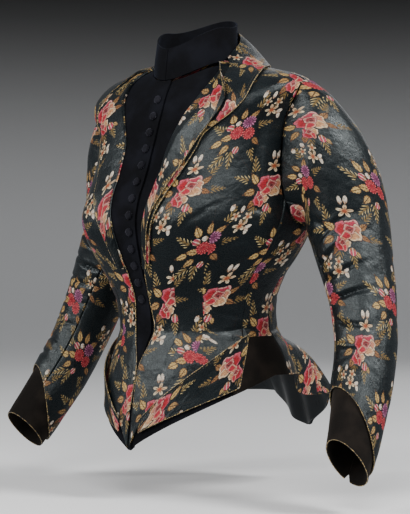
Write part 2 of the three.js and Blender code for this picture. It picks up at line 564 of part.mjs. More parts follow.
// ---------------------------------------------------------------- sleeves and cuffs
const CUFF_EDGE = { high: 8.25, low: 9.75, turn: 1.3 }; // sleeve levels of the brocade's slanting end
const CUFF = { inside: 1.2, overlap: 0.35 }; // free space inside the brocade, and levels that it runs up under it
const CUFF_PEAK = { left: 125 * DEG, right: 70 * DEG }; // where round the arm the brocade ends highest
const SLEEVE_GAP = 0.4 * DEG; // half of the free space at a long seam
const CUFF_SLIT = { phi: 252 * DEG, gap: 0.4 * DEG, spread: 7 * DEG, from: 0.8 };
function sleeveEnd(phi, peak) {
  return mix(CUFF_EDGE.low, CUFF_EDGE.high, (0.5 + 0.5 * Math.cos(phi - peak)) ** CUFF_EDGE.turn);
}
for (const [side, mirror] of [["left", false], ["right", true]]) {
  const arm = armChart(POSE[side]);
  const peak = CUFF_PEAK[side];
  const { front, back } = SLEEVE_SEAM;
  const piece = (from, to) => (u, v) => {
    const phi = mix(from + SLEEVE_GAP, to - SLEEVE_GAP, u);
    return [phi, mix(0, sleeveEnd(phi, peak), v)];
  };
  const cuff = (u, v) => {
    const slit = CUFF_SLIT.gap + (CUFF_SLIT.spread * Math.max(0, v - CUFF_SLIT.from)) / (1 - CUFF_SLIT.from);
    const phi = mix(CUFF_SLIT.phi - FULL_TURN + slit, CUFF_SLIT.phi - slit, u);
    return [phi, mix(sleeveEnd(phi, peak) - CUFF.overlap, SLEEVE_RINGS, v)];
  };
  sew(`sleeve_upper_${side}`, chartWall(arm, 12, 15, piece(back - FULL_TURN, front), 0, -CLOTH, { mirror }), BROCADE);
  sew(`sleeve_under_${side}`, chartWall(arm, 6, 15, piece(front, back), 0, -CLOTH, { mirror }), BROCADE);
  sew(`cuff_${side}`, chartWall(arm, 20, 5, cuff, CUFF.inside, VELVET, { mirror }), VELVET_PILE);
}

export default bodice;
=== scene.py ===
# %% [markdown]
# # A brocade and velvet day bodice, about 1885
# A bodice is a jacket cut so close that a dozen curved panels are needed to follow the body. This lesson
# sews it in Blender: every panel is cut from a smooth surface worked out with numpy, given the thickness
# of its cloth, pressed into soft creases, and finished with a woven, a pile or a satin material
# made of nodes. The first step loads the imported model. Its nodes are the rigid stand-ins that our cloth
# will replace one by one.

import bpy
import numpy as np
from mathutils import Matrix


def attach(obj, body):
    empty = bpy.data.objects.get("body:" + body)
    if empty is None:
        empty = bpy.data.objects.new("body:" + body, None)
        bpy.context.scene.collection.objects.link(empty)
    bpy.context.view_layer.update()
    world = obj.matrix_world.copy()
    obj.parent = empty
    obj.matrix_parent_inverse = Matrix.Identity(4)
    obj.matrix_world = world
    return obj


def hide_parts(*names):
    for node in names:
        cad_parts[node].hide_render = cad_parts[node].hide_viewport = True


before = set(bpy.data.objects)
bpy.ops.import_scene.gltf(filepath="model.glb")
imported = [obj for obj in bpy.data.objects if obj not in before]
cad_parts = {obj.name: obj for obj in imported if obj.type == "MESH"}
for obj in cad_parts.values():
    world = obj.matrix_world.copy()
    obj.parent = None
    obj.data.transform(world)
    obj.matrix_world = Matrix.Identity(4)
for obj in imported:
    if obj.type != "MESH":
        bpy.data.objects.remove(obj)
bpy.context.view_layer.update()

MM = 0.001
DEG = np.pi / 180
FULL_TURN = 2 * np.pi
SIDES = {"left": 1, "right": -1}  # the wearer's left is +X

# %% [markdown]
# ## Tables that are read between their rows
# The shape of the body is a short table: one row for each level from the neck to the hem. To get a
# smooth surface from a few rows we read each column with a Catmull-Rom curve, which passes through every
# row's value.


# %% Reading a table
def table(columns, *rows):
    """Named columns from rows of numbers."""
    return {name: np.array([row[i] for row in rows], float) for i, name in enumerate(columns)}


def read(column, level):
    """The Catmull-Rom curve through the column's values; its ends carry on in a straight line."""
    first, last = 2 * column[0] - column[1], 2 * column[-1] - column[-2]
    knots = np.concatenate([[first], column, [last]])
    i = np.clip(np.floor(level).astype(int), 0, len(column) - 2)
    f = level - i
    a, b, c, d = (knots[i + k] for k in range(4))
    return b + 0.5 * f * (c - a + f * (2 * a - 5 * b + 4 * c - d + f * (3 * (b - c) + d - a)))


def mix(a, b, share):
    return a + (b - a) * share


def ease(value):
    """3t^2 - 2t^3, with t held between 0 and 1."""
    t = np.clip(value, 0, 1)
    return t * t * (3 - 2 * t)


def bell(value):
    return np.exp(-value * value)


# %% [markdown]
# ## The trunk
# Each row is a ring round the body. Front, side and back have their own places and heights, because the
# neck dips in front and the shoulders slope. A ring's curve is 1 for an ellipse and less for a squarer
# ring. The last three columns draw the back of the skirt out into a tail.

# %% Rings of the trunk and of the standing collar, in millimetres
RING_COLUMNS = [
    "halfWidth", "sideY", "frontY", "backY", "frontZ", "sideZ", "backZ", "frontCurve", "backCurve",
    "tailReach", "tailDrop", "tailPoint",
]
TRUNK = table(
    RING_COLUMNS,
    [57, 2, -57, 55, -21, 3, 15, 1.0, 1.0, 0, 0, 0],  # 0 neck seam
    [100, 10, -67, 69, -42, -6, 1, 0.94, 0.95, 0, 0, 0],  # 1 yoke
    [170, 25, -80, 87, -78, -28, -42, 0.84, 0.88, 0, 0, 0],  # 2 points of the shoulders
    [158, 34, -89, 104, -108, -74, -86, 0.82, 0.84, 0, 0, 0],  # 3 upper chest
    [152, 43, -101, 114, -142, -122, -132, 0.8, 0.82, 0, 0, 0],  # 4 middle of the armholes
    [150, 47, -114, 113, -176, -168, -172, 0.78, 0.84, 0, 0, 0],  # 5 lower chest
    [148, 46, -120, 110, -207, -207, -206, 0.77, 0.88, 0, 0, 0],  # 6 bust, foot of the armholes
    [134, 34, -114, 105, -245, -243, -243, 0.81, 0.95, 0, 0, 0],  # 7 under the bust
    [119, 17, -106, 101, -274, -272, -273, 0.85, 1.0, 0, 0, 0],  # 8 ribs
    [107, 6, -97, 99, -304, -303, -303, 0.92, 1.0, 0, 0, 0],  # 9 midriff
    [103, 5, -92, 105, -340, -338, -336, 0.96, 1.0, 0, 0, 0],  # 10 waist
    [107, 7, -96, 112, -361, -352, -356, 0.97, 1.0, 10, 0, 0],  # 11 top of the basque
    [114, 12, -105, 119, -393, -367, -373, 0.98, 1.0, 38, 0, 0],  # 12 high hip
    [120, 16, -115, 126, -443, -385, -392, 1.0, 1.0, 60, 6, 0],  # 13 hip
    [125, 19, -122, 131, -496, -401, -408, 1.06, 1.0, 86, 28, 47],  # 14 hem
)
COLLAR = table(
    RING_COLUMNS,
    [55.8, 2, -56, 53.8, -20.4, 3.6, 15.6, 1.0, 1.0, 0, 0, 0],
    [54, 2, -53.5, 55, 0, 25, 38, 1.0, 1.0, 0, 0, 0],
    [52, 3, -50.5, 57, 21, 48, 64, 1.0, 1.0, 0, 0, 0],
)
BUST = {"halfSpacing": 86, "width": 44, "level": 5.8, "levels": 1.7, "fullness": 16}
TAIL = {"corner": 17 * DEG, "root": 42 * DEG, "dropRoot": 52 * DEG, "wholeDrop": 0.8, "flare": 0.4,
        "pleat": 11.5 * DEG, "pleatDepth": 4.5, "tipPower": 1.5}
POINT = {"from": 9, "levels": 4, "power": 1.15}  # below the midriff the dip in front sharpens to a point
NECK, SHOULDER, WAIST, BASQUE, HEM = 0, 2, 10, 11, 14


def ring_point(stack, angle, level):
    """x = halfWidth sin(angle)^curve; y and z run from the side's value to the front's or the back's."""
    angle, level = np.broadcast_arrays(angle, level)
    s, c = np.sin(angle), np.cos(angle)
    at = {name: read(stack[name], level) for name in RING_COLUMNS[:9]}
    front = c > 0
    curve = np.where(front, at["frontCurve"], at["backCurve"])
    pointed = np.clip(1 - np.abs(np.arcsin(s)) / (np.pi / 2), 0, 1) ** POINT["power"]
    dip = np.where(front, mix(c * c, pointed, ease((level - POINT["from"]) / POINT["levels"])), c * c)
    end_y, end_z = np.where(front, at["frontY"], at["backY"]), np.where(front, at["frontZ"], at["backZ"])
    x = at["halfWidth"] * np.sign(s) * np.abs(s) ** curve
    y = at["sideY"] + (end_y - at["sideY"]) * np.abs(c) ** curve
    z = at["sideZ"] + (end_z - at["sideZ"]) * dip
    return np.stack([x, y, z], -1)


def trunk_point(angle, level):
    """The ring's point, pushed forward over the bust and out, wide and down over the tail."""
    angle, level = np.broadcast_arrays(angle, level)
    x, y, z = np.moveaxis(ring_point(TRUNK, angle, level), -1, 0)
    over_bust = bell((np.abs(x) - BUST["halfSpacing"]) / BUST["width"])
    over_bust = over_bust * bell((level - BUST["level"]) / BUST["levels"])
    y = y - np.where(np.cos(angle) > 0, BUST["fullness"] * over_bust, 0)
    from_back = np.abs(np.pi - np.abs(angle))
    tail = (level > WAIST) & (from_back < TAIL["dropRoot"])
    reach, drop, tip = (np.maximum(0, read(TRUNK[name], level)) for name in RING_COLUMNS[9:])
    full = TRUNK["tailReach"][HEM]
    out = reach * (1 - ease((from_back - TAIL["corner"]) / (TAIL["root"] - TAIL["corner"])))
    pleat = np.cos(from_back / TAIL["pleat"] * FULL_TURN) * np.maximum(0, 1 - from_back / TAIL["root"])
    y = y + np.where(tail, out + TAIL["pleatDepth"] * pleat * reach / full, 0)
    x = x * np.where(tail, 1 + TAIL["flare"] * out / full, 1)
    whole = TAIL["wholeDrop"] * TAIL["root"]
    fade = 1 - ease((from_back - whole) / (TAIL["dropRoot"] - whole))
    point = np.maximum(0, 1 - (from_back / TAIL["corner"]) ** TAIL["tipPower"])
    z = z - np.where(tail, drop * fade + tip * point, 0)
    return np.stack([x, y, z], -1)


def collar_point(angle, level):
    return ring_point(COLLAR, angle, level)


def offset_point(chart, a, b, distance):
    """The chart's point moved by distance along the cross product of its two directions."""
    step = 0.004
    a, b = np.broadcast_arrays(a, b)
    along_a = chart(a + step, b) - chart(a - step, b)
    along_b = chart(a, b + step) - chart(a, np.maximum(b - step, 0))
    normal = np.cross(along_b, along_a)
    normal /= np.linalg.norm(normal, axis=-1, keepdims=True)
    return chart(a, b) + normal * np.asarray(distance)[..., None]


# %% [markdown]
# ## The armhole and the sleeve
# The armhole is an egg on the trunk. A sleeve is a stack of slanting ellipses: each one passes through
# an outer and an inner point of the arm, and its first ring is the armhole itself. The two sleeves are
# posed a little apart.

# %% Armhole and sleeve charts
CLOTH, VELVET, SEAM = 2.0, 2.0, 0.3
FALL_LIFT = 1.6
UNDER = -(VELVET + 0.9)
UNDERMOST = 2 * UNDER
ARMHOLE = {"angle": 92.5, "topAngle": 90, "front": 13, "back": 33, "level": 4, "halfLevels": 2}
CAP_START = {"outward": 1.2, "lift": CLOTH + 0.6}
SLEEVE = table(
    ["outerX", "outerY", "outerZ", "innerX", "innerY", "innerZ", "halfDepth", "frontLift"],
    [206, 34, -52, 156, 57, -209, 47, 0],  # 1 cap
    [234, 48, -98, 158, 63, -217, 51, 0],
    [251, 58, -147, 161, 65, -229, 51, 0],
    [259, 63, -193, 170, 61, -244, 49, 0],  # 4 upper arm
    [272, 58, -244, 189, 53, -277, 45, 0],
    [287, 51, -296, 213, 43, -324, 40, 0],  # 6 elbow
    [302, 36, -358, 231, 27, -374, 37.5, 0],
    [313, 14, -408, 243, 4, -418, 36, 2],  # 8 forearm
    [321, -10, -456, 257, -21, -455, 33, 7],
    [328.5, -36, -506, 269.5, -46, -488, 29, 13],  # 10 wrist
)
ELBOW, WRIST = 6, len(SLEEVE["outerX"])
POSE = {"left": {"rise": 0, "tip": 0, "lift": 0}, "right": {"rise": 6, "tip": 20, "lift": -4}}


def armhole_chart(phi):
    """Angle and level of the armhole's edge; phi is 0 at the shoulder and a quarter turn in front."""
    side = np.where(np.sin(phi) > 0, ARMHOLE["front"], ARMHOLE["back"])
    lean = (ARMHOLE["angle"] - ARMHOLE["topAngle"]) * 0.5 * (1 - np.cos(phi))
    return (ARMHOLE["topAngle"] + lean - side * np.sin(phi)) * DEG, \
        ARMHOLE["level"] - ARMHOLE["halfLevels"] * np.cos(phi)


def armhole_edge(level, side):
    """The angle of the armhole's front (-1) or back (1) edge at a level."""
    phi = np.arccos(np.clip((ARMHOLE["level"] - level) / ARMHOLE["halfLevels"], -1, 1))
    return armhole_chart(phi if side < 0 else -phi)[0]


def armhole_foot(degrees):
    """The level of the armhole's lower edge at an angle."""
    width = np.where(degrees < ARMHOLE["angle"], ARMHOLE["front"], ARMHOLE["back"])
    across = (degrees - ARMHOLE["angle"]) / width
    return ARMHOLE["level"] + ARMHOLE["halfLevels"] * np.sqrt(np.maximum(0, 1 - across * across))


def sleeve_rings(side, phi):
    """All rings of the sleeve at phi: middle + outward cos(phi) + forward sin(phi)."""
    angle, level = armhole_chart(phi)
    start = offset_point(trunk_point, angle, level, np.full(np.shape(phi), CAP_START["lift"]))
    rings = [start + np.array([CAP_START["outward"], 0, 0])]
    pose, rows = POSE[side], np.arange(WRIST)
    to_wrist = np.maximum(0, (rows + 1 - ELBOW) / (WRIST - ELBOW)) ** 2

    def ends(end, tip):
        x, y, z = (SLEEVE[end + axis] for axis in "XYZ")
        return np.stack([x, y, z + (pose["rise"] + tip / 2) * to_wrist], -1)

    outer, inner = ends("outer", pose["tip"]), ends("inner", -pose["tip"])
    middle, outward = (outer + inner) / 2, (outer - inner) / 2
    along = middle[np.minimum(rows + 1, WRIST - 1)] - middle[np.maximum(rows - 1, 0)]
    forward = np.cross(along, outward)
    forward *= (SLEEVE["halfDepth"] / np.linalg.norm(forward, axis=-1) * -np.sign(forward[:, 1]))[:, None]
    forward[:, 2] += SLEEVE["frontLift"] + pose["lift"] * to_wrist
    c, s = np.cos(phi)[..., None], np.sin(phi)[..., None]
    return np.stack(rings + [middle[k] + outward[k] * c + forward[k] * s for k in rows])


def sleeve_chart(side):
    def chart(phi, level):
        """A Catmull-Rom curve from ring to ring down the arm."""
        phi, level = np.broadcast_arrays(phi, level)
        rings = sleeve_rings(side, phi)
        knots = np.concatenate([2 * rings[:1] - rings[1:2], rings, 2 * rings[-1:] - rings[-2:-1]])
        i = np.clip(np.floor(level).astype(int), 0, WRIST - 1)
        f = (level - i)[..., None]
        a, b, c, d = (np.take_along_axis(knots, (i + k)[None, ..., None], 0)[0] for k in range(4))
        return b + 0.5 * f * (c - a + f * (2 * a - 5 * b + 4 * c - d + f * (3 * (b - c) + d - a)))
    return chart


# %% [markdown]
# ## Where the seams run
# The cutter's lines are a second table with the same levels. Two of them are half widths in millimetres,
# because the vest and the lapels are measured from the middle of the front; the others are angles round
# the body.

# %% Seam lines
SEAMS = table(
    ["vestHalf", "lapelHalf", "sideFront", "sideBack", "back"],
    [56, 57, 82, 110, 118],
    [77, 99, 82, 110, 118],
    [53, 109, 82, 110, 118],
    [41, 88, 82, 110, 119],
    [38, 73, 82, 110, 126],
    [36, 61, 82, 110, 134],
    [30, 46, 81, 110, 141],
    [22, 32, 80, 109, 147],
    [16, 21, 79, 108, 152],
    [14, 19, 79, 107, 157],
    [18, 20, 78, 106, 160],
    [13, 15, 76, 106, 160],
    [2.4, 4, 72, 106, 158],
    [2.6, 4, 67, 106, 154],
    [1.4, 3, 62, 106, 150],
)


SEAM_SPLIT = 1.6
LEAST_RADIUS = 30  # in millimetres; nearer to the axis the gap as an angle grows no more


def angle_of_half(half, level):
    """The angle at which the ring is half wide: x = halfWidth sin(angle)^curve, turned round."""
    share = np.clip(half / read(TRUNK["halfWidth"], level), 0, 1)
    return np.arcsin(share ** (1 / read(TRUNK["frontCurve"], level)))


def seam(name, level):
    return read(SEAMS[name], level) * DEG


def vest_edge(level):
    return angle_of_half(np.maximum(SEAM, read(SEAMS["vestHalf"], level)), level)


def seam_gap(angle, level):
    """How far a piece ends before its seam line, as an angle: SEAM / split / distance from the axis."""
    point = trunk_point(angle, level)
    return SEAM / SEAM_SPLIT / np.maximum(LEAST_RADIUS, np.hypot(point[..., 0], point[..., 1]))


def between(left, right, level, u):
    return mix(left + seam_gap(left, level), right - seam_gap(right, level), u)


SIDE_TOP = float(armhole_foot(SEAMS["sideFront"][5]))
SIDE_BACK_TOP = float(armhole_foot(SEAMS["sideBack"][5]))
BACK_TOP, SHARED_TOP = 4.05, 6.4  # where the back seam leaves the armhole, and from where all rows are level
print("the side seam meets the armhole at level", round(SIDE_TOP, 3))


def rows_between(*stops, apart=0.065):
    """Levels from the first stop to the last, no further apart than that, with a row on every stop."""
    parts = [np.linspace(a, b, int(np.ceil((b - a) / apart)) + 1)[:-1] for a, b in zip(stops, stops[1:])]
    return np.concatenate([*parts, [stops[-1]]])[:, None]


def columns(count, crowded=0.6):
    """u from 0 to 1; towards both edges the columns crowd, so that the edges can be rounded."""
    t = np.linspace(0, 1, count)
    return mix(t, 0.5 - 0.5 * np.cos(np.pi * t), crowded)[None, :]

# %% [markdown]
# ## Creases
# Cloth over a body is never quite smooth. Each crease is a line drawn on the chart with a width and a
# depth in millimetres: a soft trough with a low ridge on each side. They are uneven on purpose, and
# fewer where the cloth is tight. Below them lies a very shallow unevenness that gives satin its cloudy
# shine.


# %% Pressing creases into a surface
def distance_to_line(points, line):
    """How far each point is from the nearest place on a bent line, and where along it that place is."""
    nearest, along = np.full(points.shape[:-1], 1e9), np.zeros(points.shape[:-1])
    for k, (start, end) in enumerate(zip(line, line[1:])):
        run = end - start
        t = np.clip(((points - start) @ run) / (run @ run), 0, 1)
        d = np.linalg.norm(points - start - t[..., None] * run, axis=-1)
        closer = d < nearest
        nearest, along = np.where(closer, d, nearest), np.where(closer, (k + t) / (len(line) - 1), along)
    return nearest, along


CREASE = {"stations": 14, "reach": 3, "ridge": 0.8, "fade": 0.7, "end": 0.02}


def pressed(points, creases, chart):
    """The sum of -depth (1 - ridge x^2) e^(-x^2), x being the distance over the width.

    Each crease fades towards its ends with sin(pi along)^fade.
    """
    total = np.zeros(points.shape[:-1])
    low, high = points.min((0, 1)), points.max((0, 1))
    for path, width, depth in creases:
        stops = np.array(path, float)
        t = np.linspace(0, len(stops) - 1, CREASE["stations"])
        angle, level = (np.interp(t, np.arange(len(stops)), stops[:, i]) for i in range(2))
        line = chart(angle * DEG, level)
        reach = CREASE["reach"] * width
        if (line.max(0) + reach < low).any() or (line.min(0) - reach > high).any():
            continue
        far, along = distance_to_line(points, line)
        x = far / width
        along = np.clip(along, CREASE["end"], 1 - CREASE["end"])
        total -= depth * np.sin(np.pi * along) ** CREASE["fade"] * (1 - CREASE["ridge"] * x * x) * bell(x)
    return total


WAVES = np.random.default_rng(1885).normal(size=(9, 3))
WAVES /= np.linalg.norm(WAVES, axis=1, keepdims=True)
WAVE_LENGTHS = np.geomspace(15, 85, len(WAVES))  # in millimetres
WAVE = {"phase": 2.1, "middle": 50, "power": 0.8, "share": 3}


def uneven(points, height):
    """height / share times the sum of strength sin(turns + phase k), one wave in each fixed direction."""
    strengths = (WAVE_LENGTHS / WAVE["middle"]) ** WAVE["power"]
    waves = [np.sin(points @ way / length * FULL_TURN + WAVE["phase"] * k) * strength
             for k, (way, length, strength) in enumerate(zip(WAVES, WAVE_LENGTHS, strengths))]
    return height * np.sum(waves, 0) / WAVE["share"]


TRUNK_CREASES = [
    ([(66, 2.6), (64, 4.0), (70, 5.4)], 8, 4.4),
    ([(80, 5.7), (66, 5.5), (52, 5.9)], 6, 1.5),
    ([(78, 6.5), (62, 6.6), (48, 6.9)], 5, 1.0),
    ([(44, 5.6), (36, 5.9), (30, 6.4)], 4, 1.1),
    ([(52, 5.2), (43, 5.5), (36, 6.0)], 4, 0.9),
    ([(88, 8.4), (66, 8.8), (50, 8.7)], 4.5, 0.9),
    ([(96, 9.3), (72, 9.6), (54, 9.4)], 4.5, 1.3),
    ([(100, 10.3), (80, 10.1), (58, 10.4)], 4, 1.2),
    ([(130, 9.2), (112, 9.6), (96, 9.5)], 4, 1.1),
    ([(138, 10.2), (118, 10.3), (100, 10.6)], 4, 1.0),
    ([(122, 2.8), (132, 3.9), (136, 5.2)], 10, 2.2),
    ([(118, 5.6), (134, 6.4), (148, 6.6)], 6, 1.0),
    ([(150, 8.6), (134, 9.0), (120, 8.8)], 5, 0.9),
    ([(-66, 2.7), (-62, 4.1), (-69, 5.6)], 10, 2.8),
    ([(-82, 5.9), (-64, 5.8), (-50, 6.2)], 6, 1.3),
    ([(-34, 7.3), (-46, 7.6), (-62, 7.4)], 5, 1.3),
    ([(-30, 8.1), (-48, 8.3), (-70, 8.0)], 4.5, 1.5),
    ([(-36, 9.0), (-56, 8.8), (-84, 9.2)], 4.5, 1.4),
    ([(-40, 9.8), (-62, 9.9), (-92, 9.6)], 4, 1.1),
    ([(-100, 10.2), (-82, 10.4), (-60, 10.2)], 4, 1.0),
    ([(-124, 2.7), (-134, 4.0), (-139, 5.4)], 10, 2.4),
    ([(-142, 9.8), (-122, 10.1), (-104, 9.9)], 4, 1.1),
    ([(-150, 8.2), (-136, 8.8), (-118, 8.7)], 5, 0.8),
]
SLEEVE_CREASES = {
    "left": [
        ([(60, 0.8), (75, 2.0), (95, 3.4)], 9, 1.8),
        ([(126, 2.3), (100, 3.2), (84, 4.2)], 7, 1.8),
        ([(128, 4.4), (84, 4.1), (34, 3.9)], 5.3, 2.8),
        ([(136, 4.95), (92, 4.8), (22, 4.45)], 4.1, 4.9),
        ([(138, 5.35), (96, 5.4), (30, 5.25)], 3.4, 4.5),
        ([(136, 5.8), (90, 5.95), (28, 5.9)], 3.8, 4.4),
        ([(130, 6.3), (88, 6.6), (40, 6.75)], 3.4, 3.2),
        ([(120, 7.0), (84, 7.15), (46, 7.1)], 4, 2),
        ([(96, 7.75), (66, 7.7), (30, 7.9)], 4, 2.2),
        ([(20, 8.3), (-10, 8.2), (-40, 8.4)], 5, 1.2),
        ([(150, 3.4), (186, 4.3), (222, 5.1)], 4.6, 3.2),
        ([(156, 4.8), (194, 5.2), (236, 5.4)], 3.8, 3.2),
        ([(-30, 1.2), (-70, 2.6), (-104, 4.0)], 9, 1.8),
        ([(-24, 5.0), (-62, 5.3), (-108, 5.2)], 4.6, 2.5),
        ([(-30, 6.4), (-70, 6.3), (-110, 6.5)], 3.8, 2.1),
    ],
    "right": [
        ([(64, 0.9), (80, 2.1), (104, 3.2)], 9, 1.8),
        ([(132, 3.4), (90, 3.9), (46, 3.7)], 5.3, 2.3),
        ([(134, 4.5), (88, 4.5), (30, 4.3)], 4.1, 4),
        ([(136, 5.1), (90, 5.15), (24, 5.0)], 3.8, 4.8),
        ([(136, 5.55), (84, 5.7), (20, 5.6)], 3.4, 4.1),
        ([(132, 6.1), (88, 6.2), (38, 6.3)], 3.4, 4),
        ([(126, 6.7), (78, 6.8), (26, 6.6)], 3.4, 2.9),
        ([(110, 7.3), (70, 7.25), (24, 7.4)], 3.5, 2),
        ([(100, 7.9), (60, 7.8), (16, 7.7)], 4, 2.5),
        ([(152, 3.8), (190, 4.5), (226, 4.9)], 4.6, 3.2),
        ([(160, 5.2), (196, 5.4), (234, 5.7)], 3.8, 2.9),
        ([(-34, 1.4), (-74, 2.8), (-100, 4.2)], 9, 1.8),
        ([(-26, 5.3), (-66, 5.6), (-112, 5.3)], 4.6, 2.5),
    ],
}
print(len(TRUNK_CREASES) + sum(map(len, SLEEVE_CREASES.values())), "creases placed by hand")

# %% [markdown]
# ## A piece of cloth as a closed shell
# A flat plane with a Solidify modifier would do, but here both faces come straight from the chart: the
# outer face at one distance along its normal, the inner face at another. Round the edge runs one more
# line of points, pushed out a little, so that the cut edge is rounded like a turned and pressed one. At
# a sewn edge the outer face also sinks towards the seam. The UV map is the cloth laid flat: x is the
# length across the piece, y the length down its middle.


# %% From grids of points to a mesh
def lengths_along(points, axis):
    """How far each point is from the first one, measured over the grid along one axis."""
    steps = np.linalg.norm(np.diff(points, axis=axis), axis=-1)
    return np.insert(np.cumsum(steps, axis), 0, 0, axis)


def laid_flat(points, way):
    """The grid's points on the flat cloth, in millimetres; way is -1 where the columns run right to left.

    x counts along each row from the middle column, y down each column from the middle row.
    """
    row, column = points.shape[0] // 2, points.shape[1] // 2
    across, down = lengths_along(points, 1), lengths_along(points, 0)
    return np.stack([(across - across[:, column:column + 1]) * way, down[row:row + 1] - down], -1)


def rim(outer, inner, bulge):
    """Points half way between two edges, pushed away from the piece."""
    out = outer[:, 0] - outer[:, 1]
    out /= np.maximum(np.linalg.norm(out, axis=-1, keepdims=True), 1e-6)
    return (outer[:, 0] + inner[:, 0]) / 2 + out * bulge


def ring_quads(first, second):
    """Quads between two equally long rows of point numbers."""
    return np.stack([first[1:], second[1:], second[:-1], first[:-1]], -1)


def shell_arrays(outer, inner, flat, bulge=0.35):
    """Points, quads and flat places of a closed shell between two grids."""
    turned = lambda grid: grid.swapaxes(0, 1)
    sides = [
        rim(outer, inner, bulge), rim(outer[:, ::-1], inner[:, ::-1], bulge),
        rim(turned(outer), turned(inner), bulge), rim(turned(outer)[:, ::-1], turned(inner)[:, ::-1], bulge),
    ]
    edges = [flat[:, 0], flat[:, -1], flat[0], flat[-1]]
    rows, cols = outer.shape[:2]
    points = np.concatenate([outer.reshape(-1, 3), inner.reshape(-1, 3), *sides])
    places = np.concatenate([flat.reshape(-1, 2), flat.reshape(-1, 2), *edges])
    face = np.arange(rows * cols).reshape(rows, cols)
    back = face + rows * cols
    at, numbers = 2 * rows * cols, []
    for side in sides:
        numbers.append(np.arange(at, at + len(side)))
        at += len(side)
    left, right, top, bottom = numbers
    quads = [np.stack([face[:-1, :-1], face[1:, :-1], face[1:, 1:], face[:-1, 1:]], -1).reshape(-1, 4)]
    quads.append(np.stack([back[:-1, :-1], back[:-1, 1:], back[1:, 1:], back[1:, :-1]], -1).reshape(-1, 4))
    joints = [
        (left, face[:, 0]), (back[:, 0], left), (face[:, -1], right), (right, back[:, -1]),
        (face[0], top), (top, back[0]), (bottom, face[-1]), (back[-1], bottom),
    ]
    quads += [ring_quads(first, second) for first, second in joints]
    corners = [
        (face[0, 0], left[0], back[0, 0], top[0]), (face[0, -1], top[-1], back[0, -1], right[0]),
        (face[-1, 0], bottom[0], back[-1, 0], left[-1]), (face[-1, -1], right[-1], back[-1, -1], bottom[-1]),
    ]
    return points, np.concatenate([*quads, np.array(corners)]), places


def enclosed(points, quads):
    """Six times the volume inside, negative where the faces point inwards."""
    a, b, c, d = (points[quads[:, i]] for i in range(4))
    return np.einsum("ij,ij->", a, np.cross(b, c)) + np.einsum("ij,ij->", a, np.cross(c, d))


SHARP = 62 * DEG  # edges that are bent more than this stay sharp


def make_piece(name, points, quads, corner_flat=None):
    """A Blender object from arrays in millimetres, its faces turned outwards."""
    if enclosed(points, quads) < 0:
        quads = quads[:, ::-1]
        corner_flat = None if corner_flat is None else corner_flat[:, ::-1]
    mesh = bpy.data.meshes.new(name)
    mesh.from_pydata(points * MM, [], quads)
    if corner_flat is not None:
        layer = mesh.uv_layers.new(name="cloth")
        layer.uv.foreach_set("vector", (corner_flat * MM).astype(np.float32).ravel())
    mesh.polygons.foreach_set("use_smooth", np.ones(len(quads), bool))
    mesh.set_sharp_from_angle(angle=SHARP)
    mesh.update()
    piece = bpy.data.objects.new(name, mesh)
    bpy.context.scene.collection.objects.link(piece)
    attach(piece, "root")
    return piece


# %% [markdown]
# ## Cutting and sewing a piece
# `sew` does the same for every piece: find the points, press in the creases, sink the sewn edges, close
# the shell, lay it flat for the pattern, and hide the stand-in it takes the place of.

# %% Sewing
EDGE_RADIUS, SEAM_SINK = 2.2, 1.1
UNEVENNESS = {"panel": 0.3, "collar": 0.2, "sleeve": 0.35, "cuff": 0.25}  # in millimetres
DART = {"ends": 0.5, "depth": 0.8, "width": 0.9}  # levels over which it fades in, and millimetres
PATTERN_START = {  # how far each piece was moved on the flowered cloth before it was cut, in millimetres
    "front_left": (33, 62), "front_right": (30, 40), "underarm_left": (-11, 58), "underarm_right": (10, 90),
    "side_back_left": (42, -17), "side_back_right": (80, 20), "back_left": (55, 60), "back_right": (5, 15),
    "lapel_left": (8, 28), "lapel_right": (-5, 46),
    "basque_flap_left": (50, -1), "basque_flap_right": (90, 10),
    "collar_fall_left": (26, 12), "collar_fall_right": (25, 75),
    "sleeve_upper_left": (48, 0), "sleeve_upper_right": (-24, 19),
    "sleeve_under_left": (70, 100), "sleeve_under_right": (64, 67),
}
finished = {}  # each piece by the name of its stand-in, with its grids and levels where it was sewn


def sunk(base, sewn):
    """How far the outer face sinks beside each sewn edge: a quarter circle, scaled to SEAM_SINK."""
    across, down = lengths_along(base, 1), lengths_along(base, 0)
    far = {"left": across, "right": across[:, -1:] - across, "top": down, "bottom": down[-1:] - down}
    total = np.zeros(base.shape[:2])
    for edge in sewn:
        near = np.clip(1 - far[edge] / EDGE_RADIUS, 0, 1)
        total = np.maximum(total, SEAM_SINK * (1 - np.sqrt(1 - near * near)))
    return total


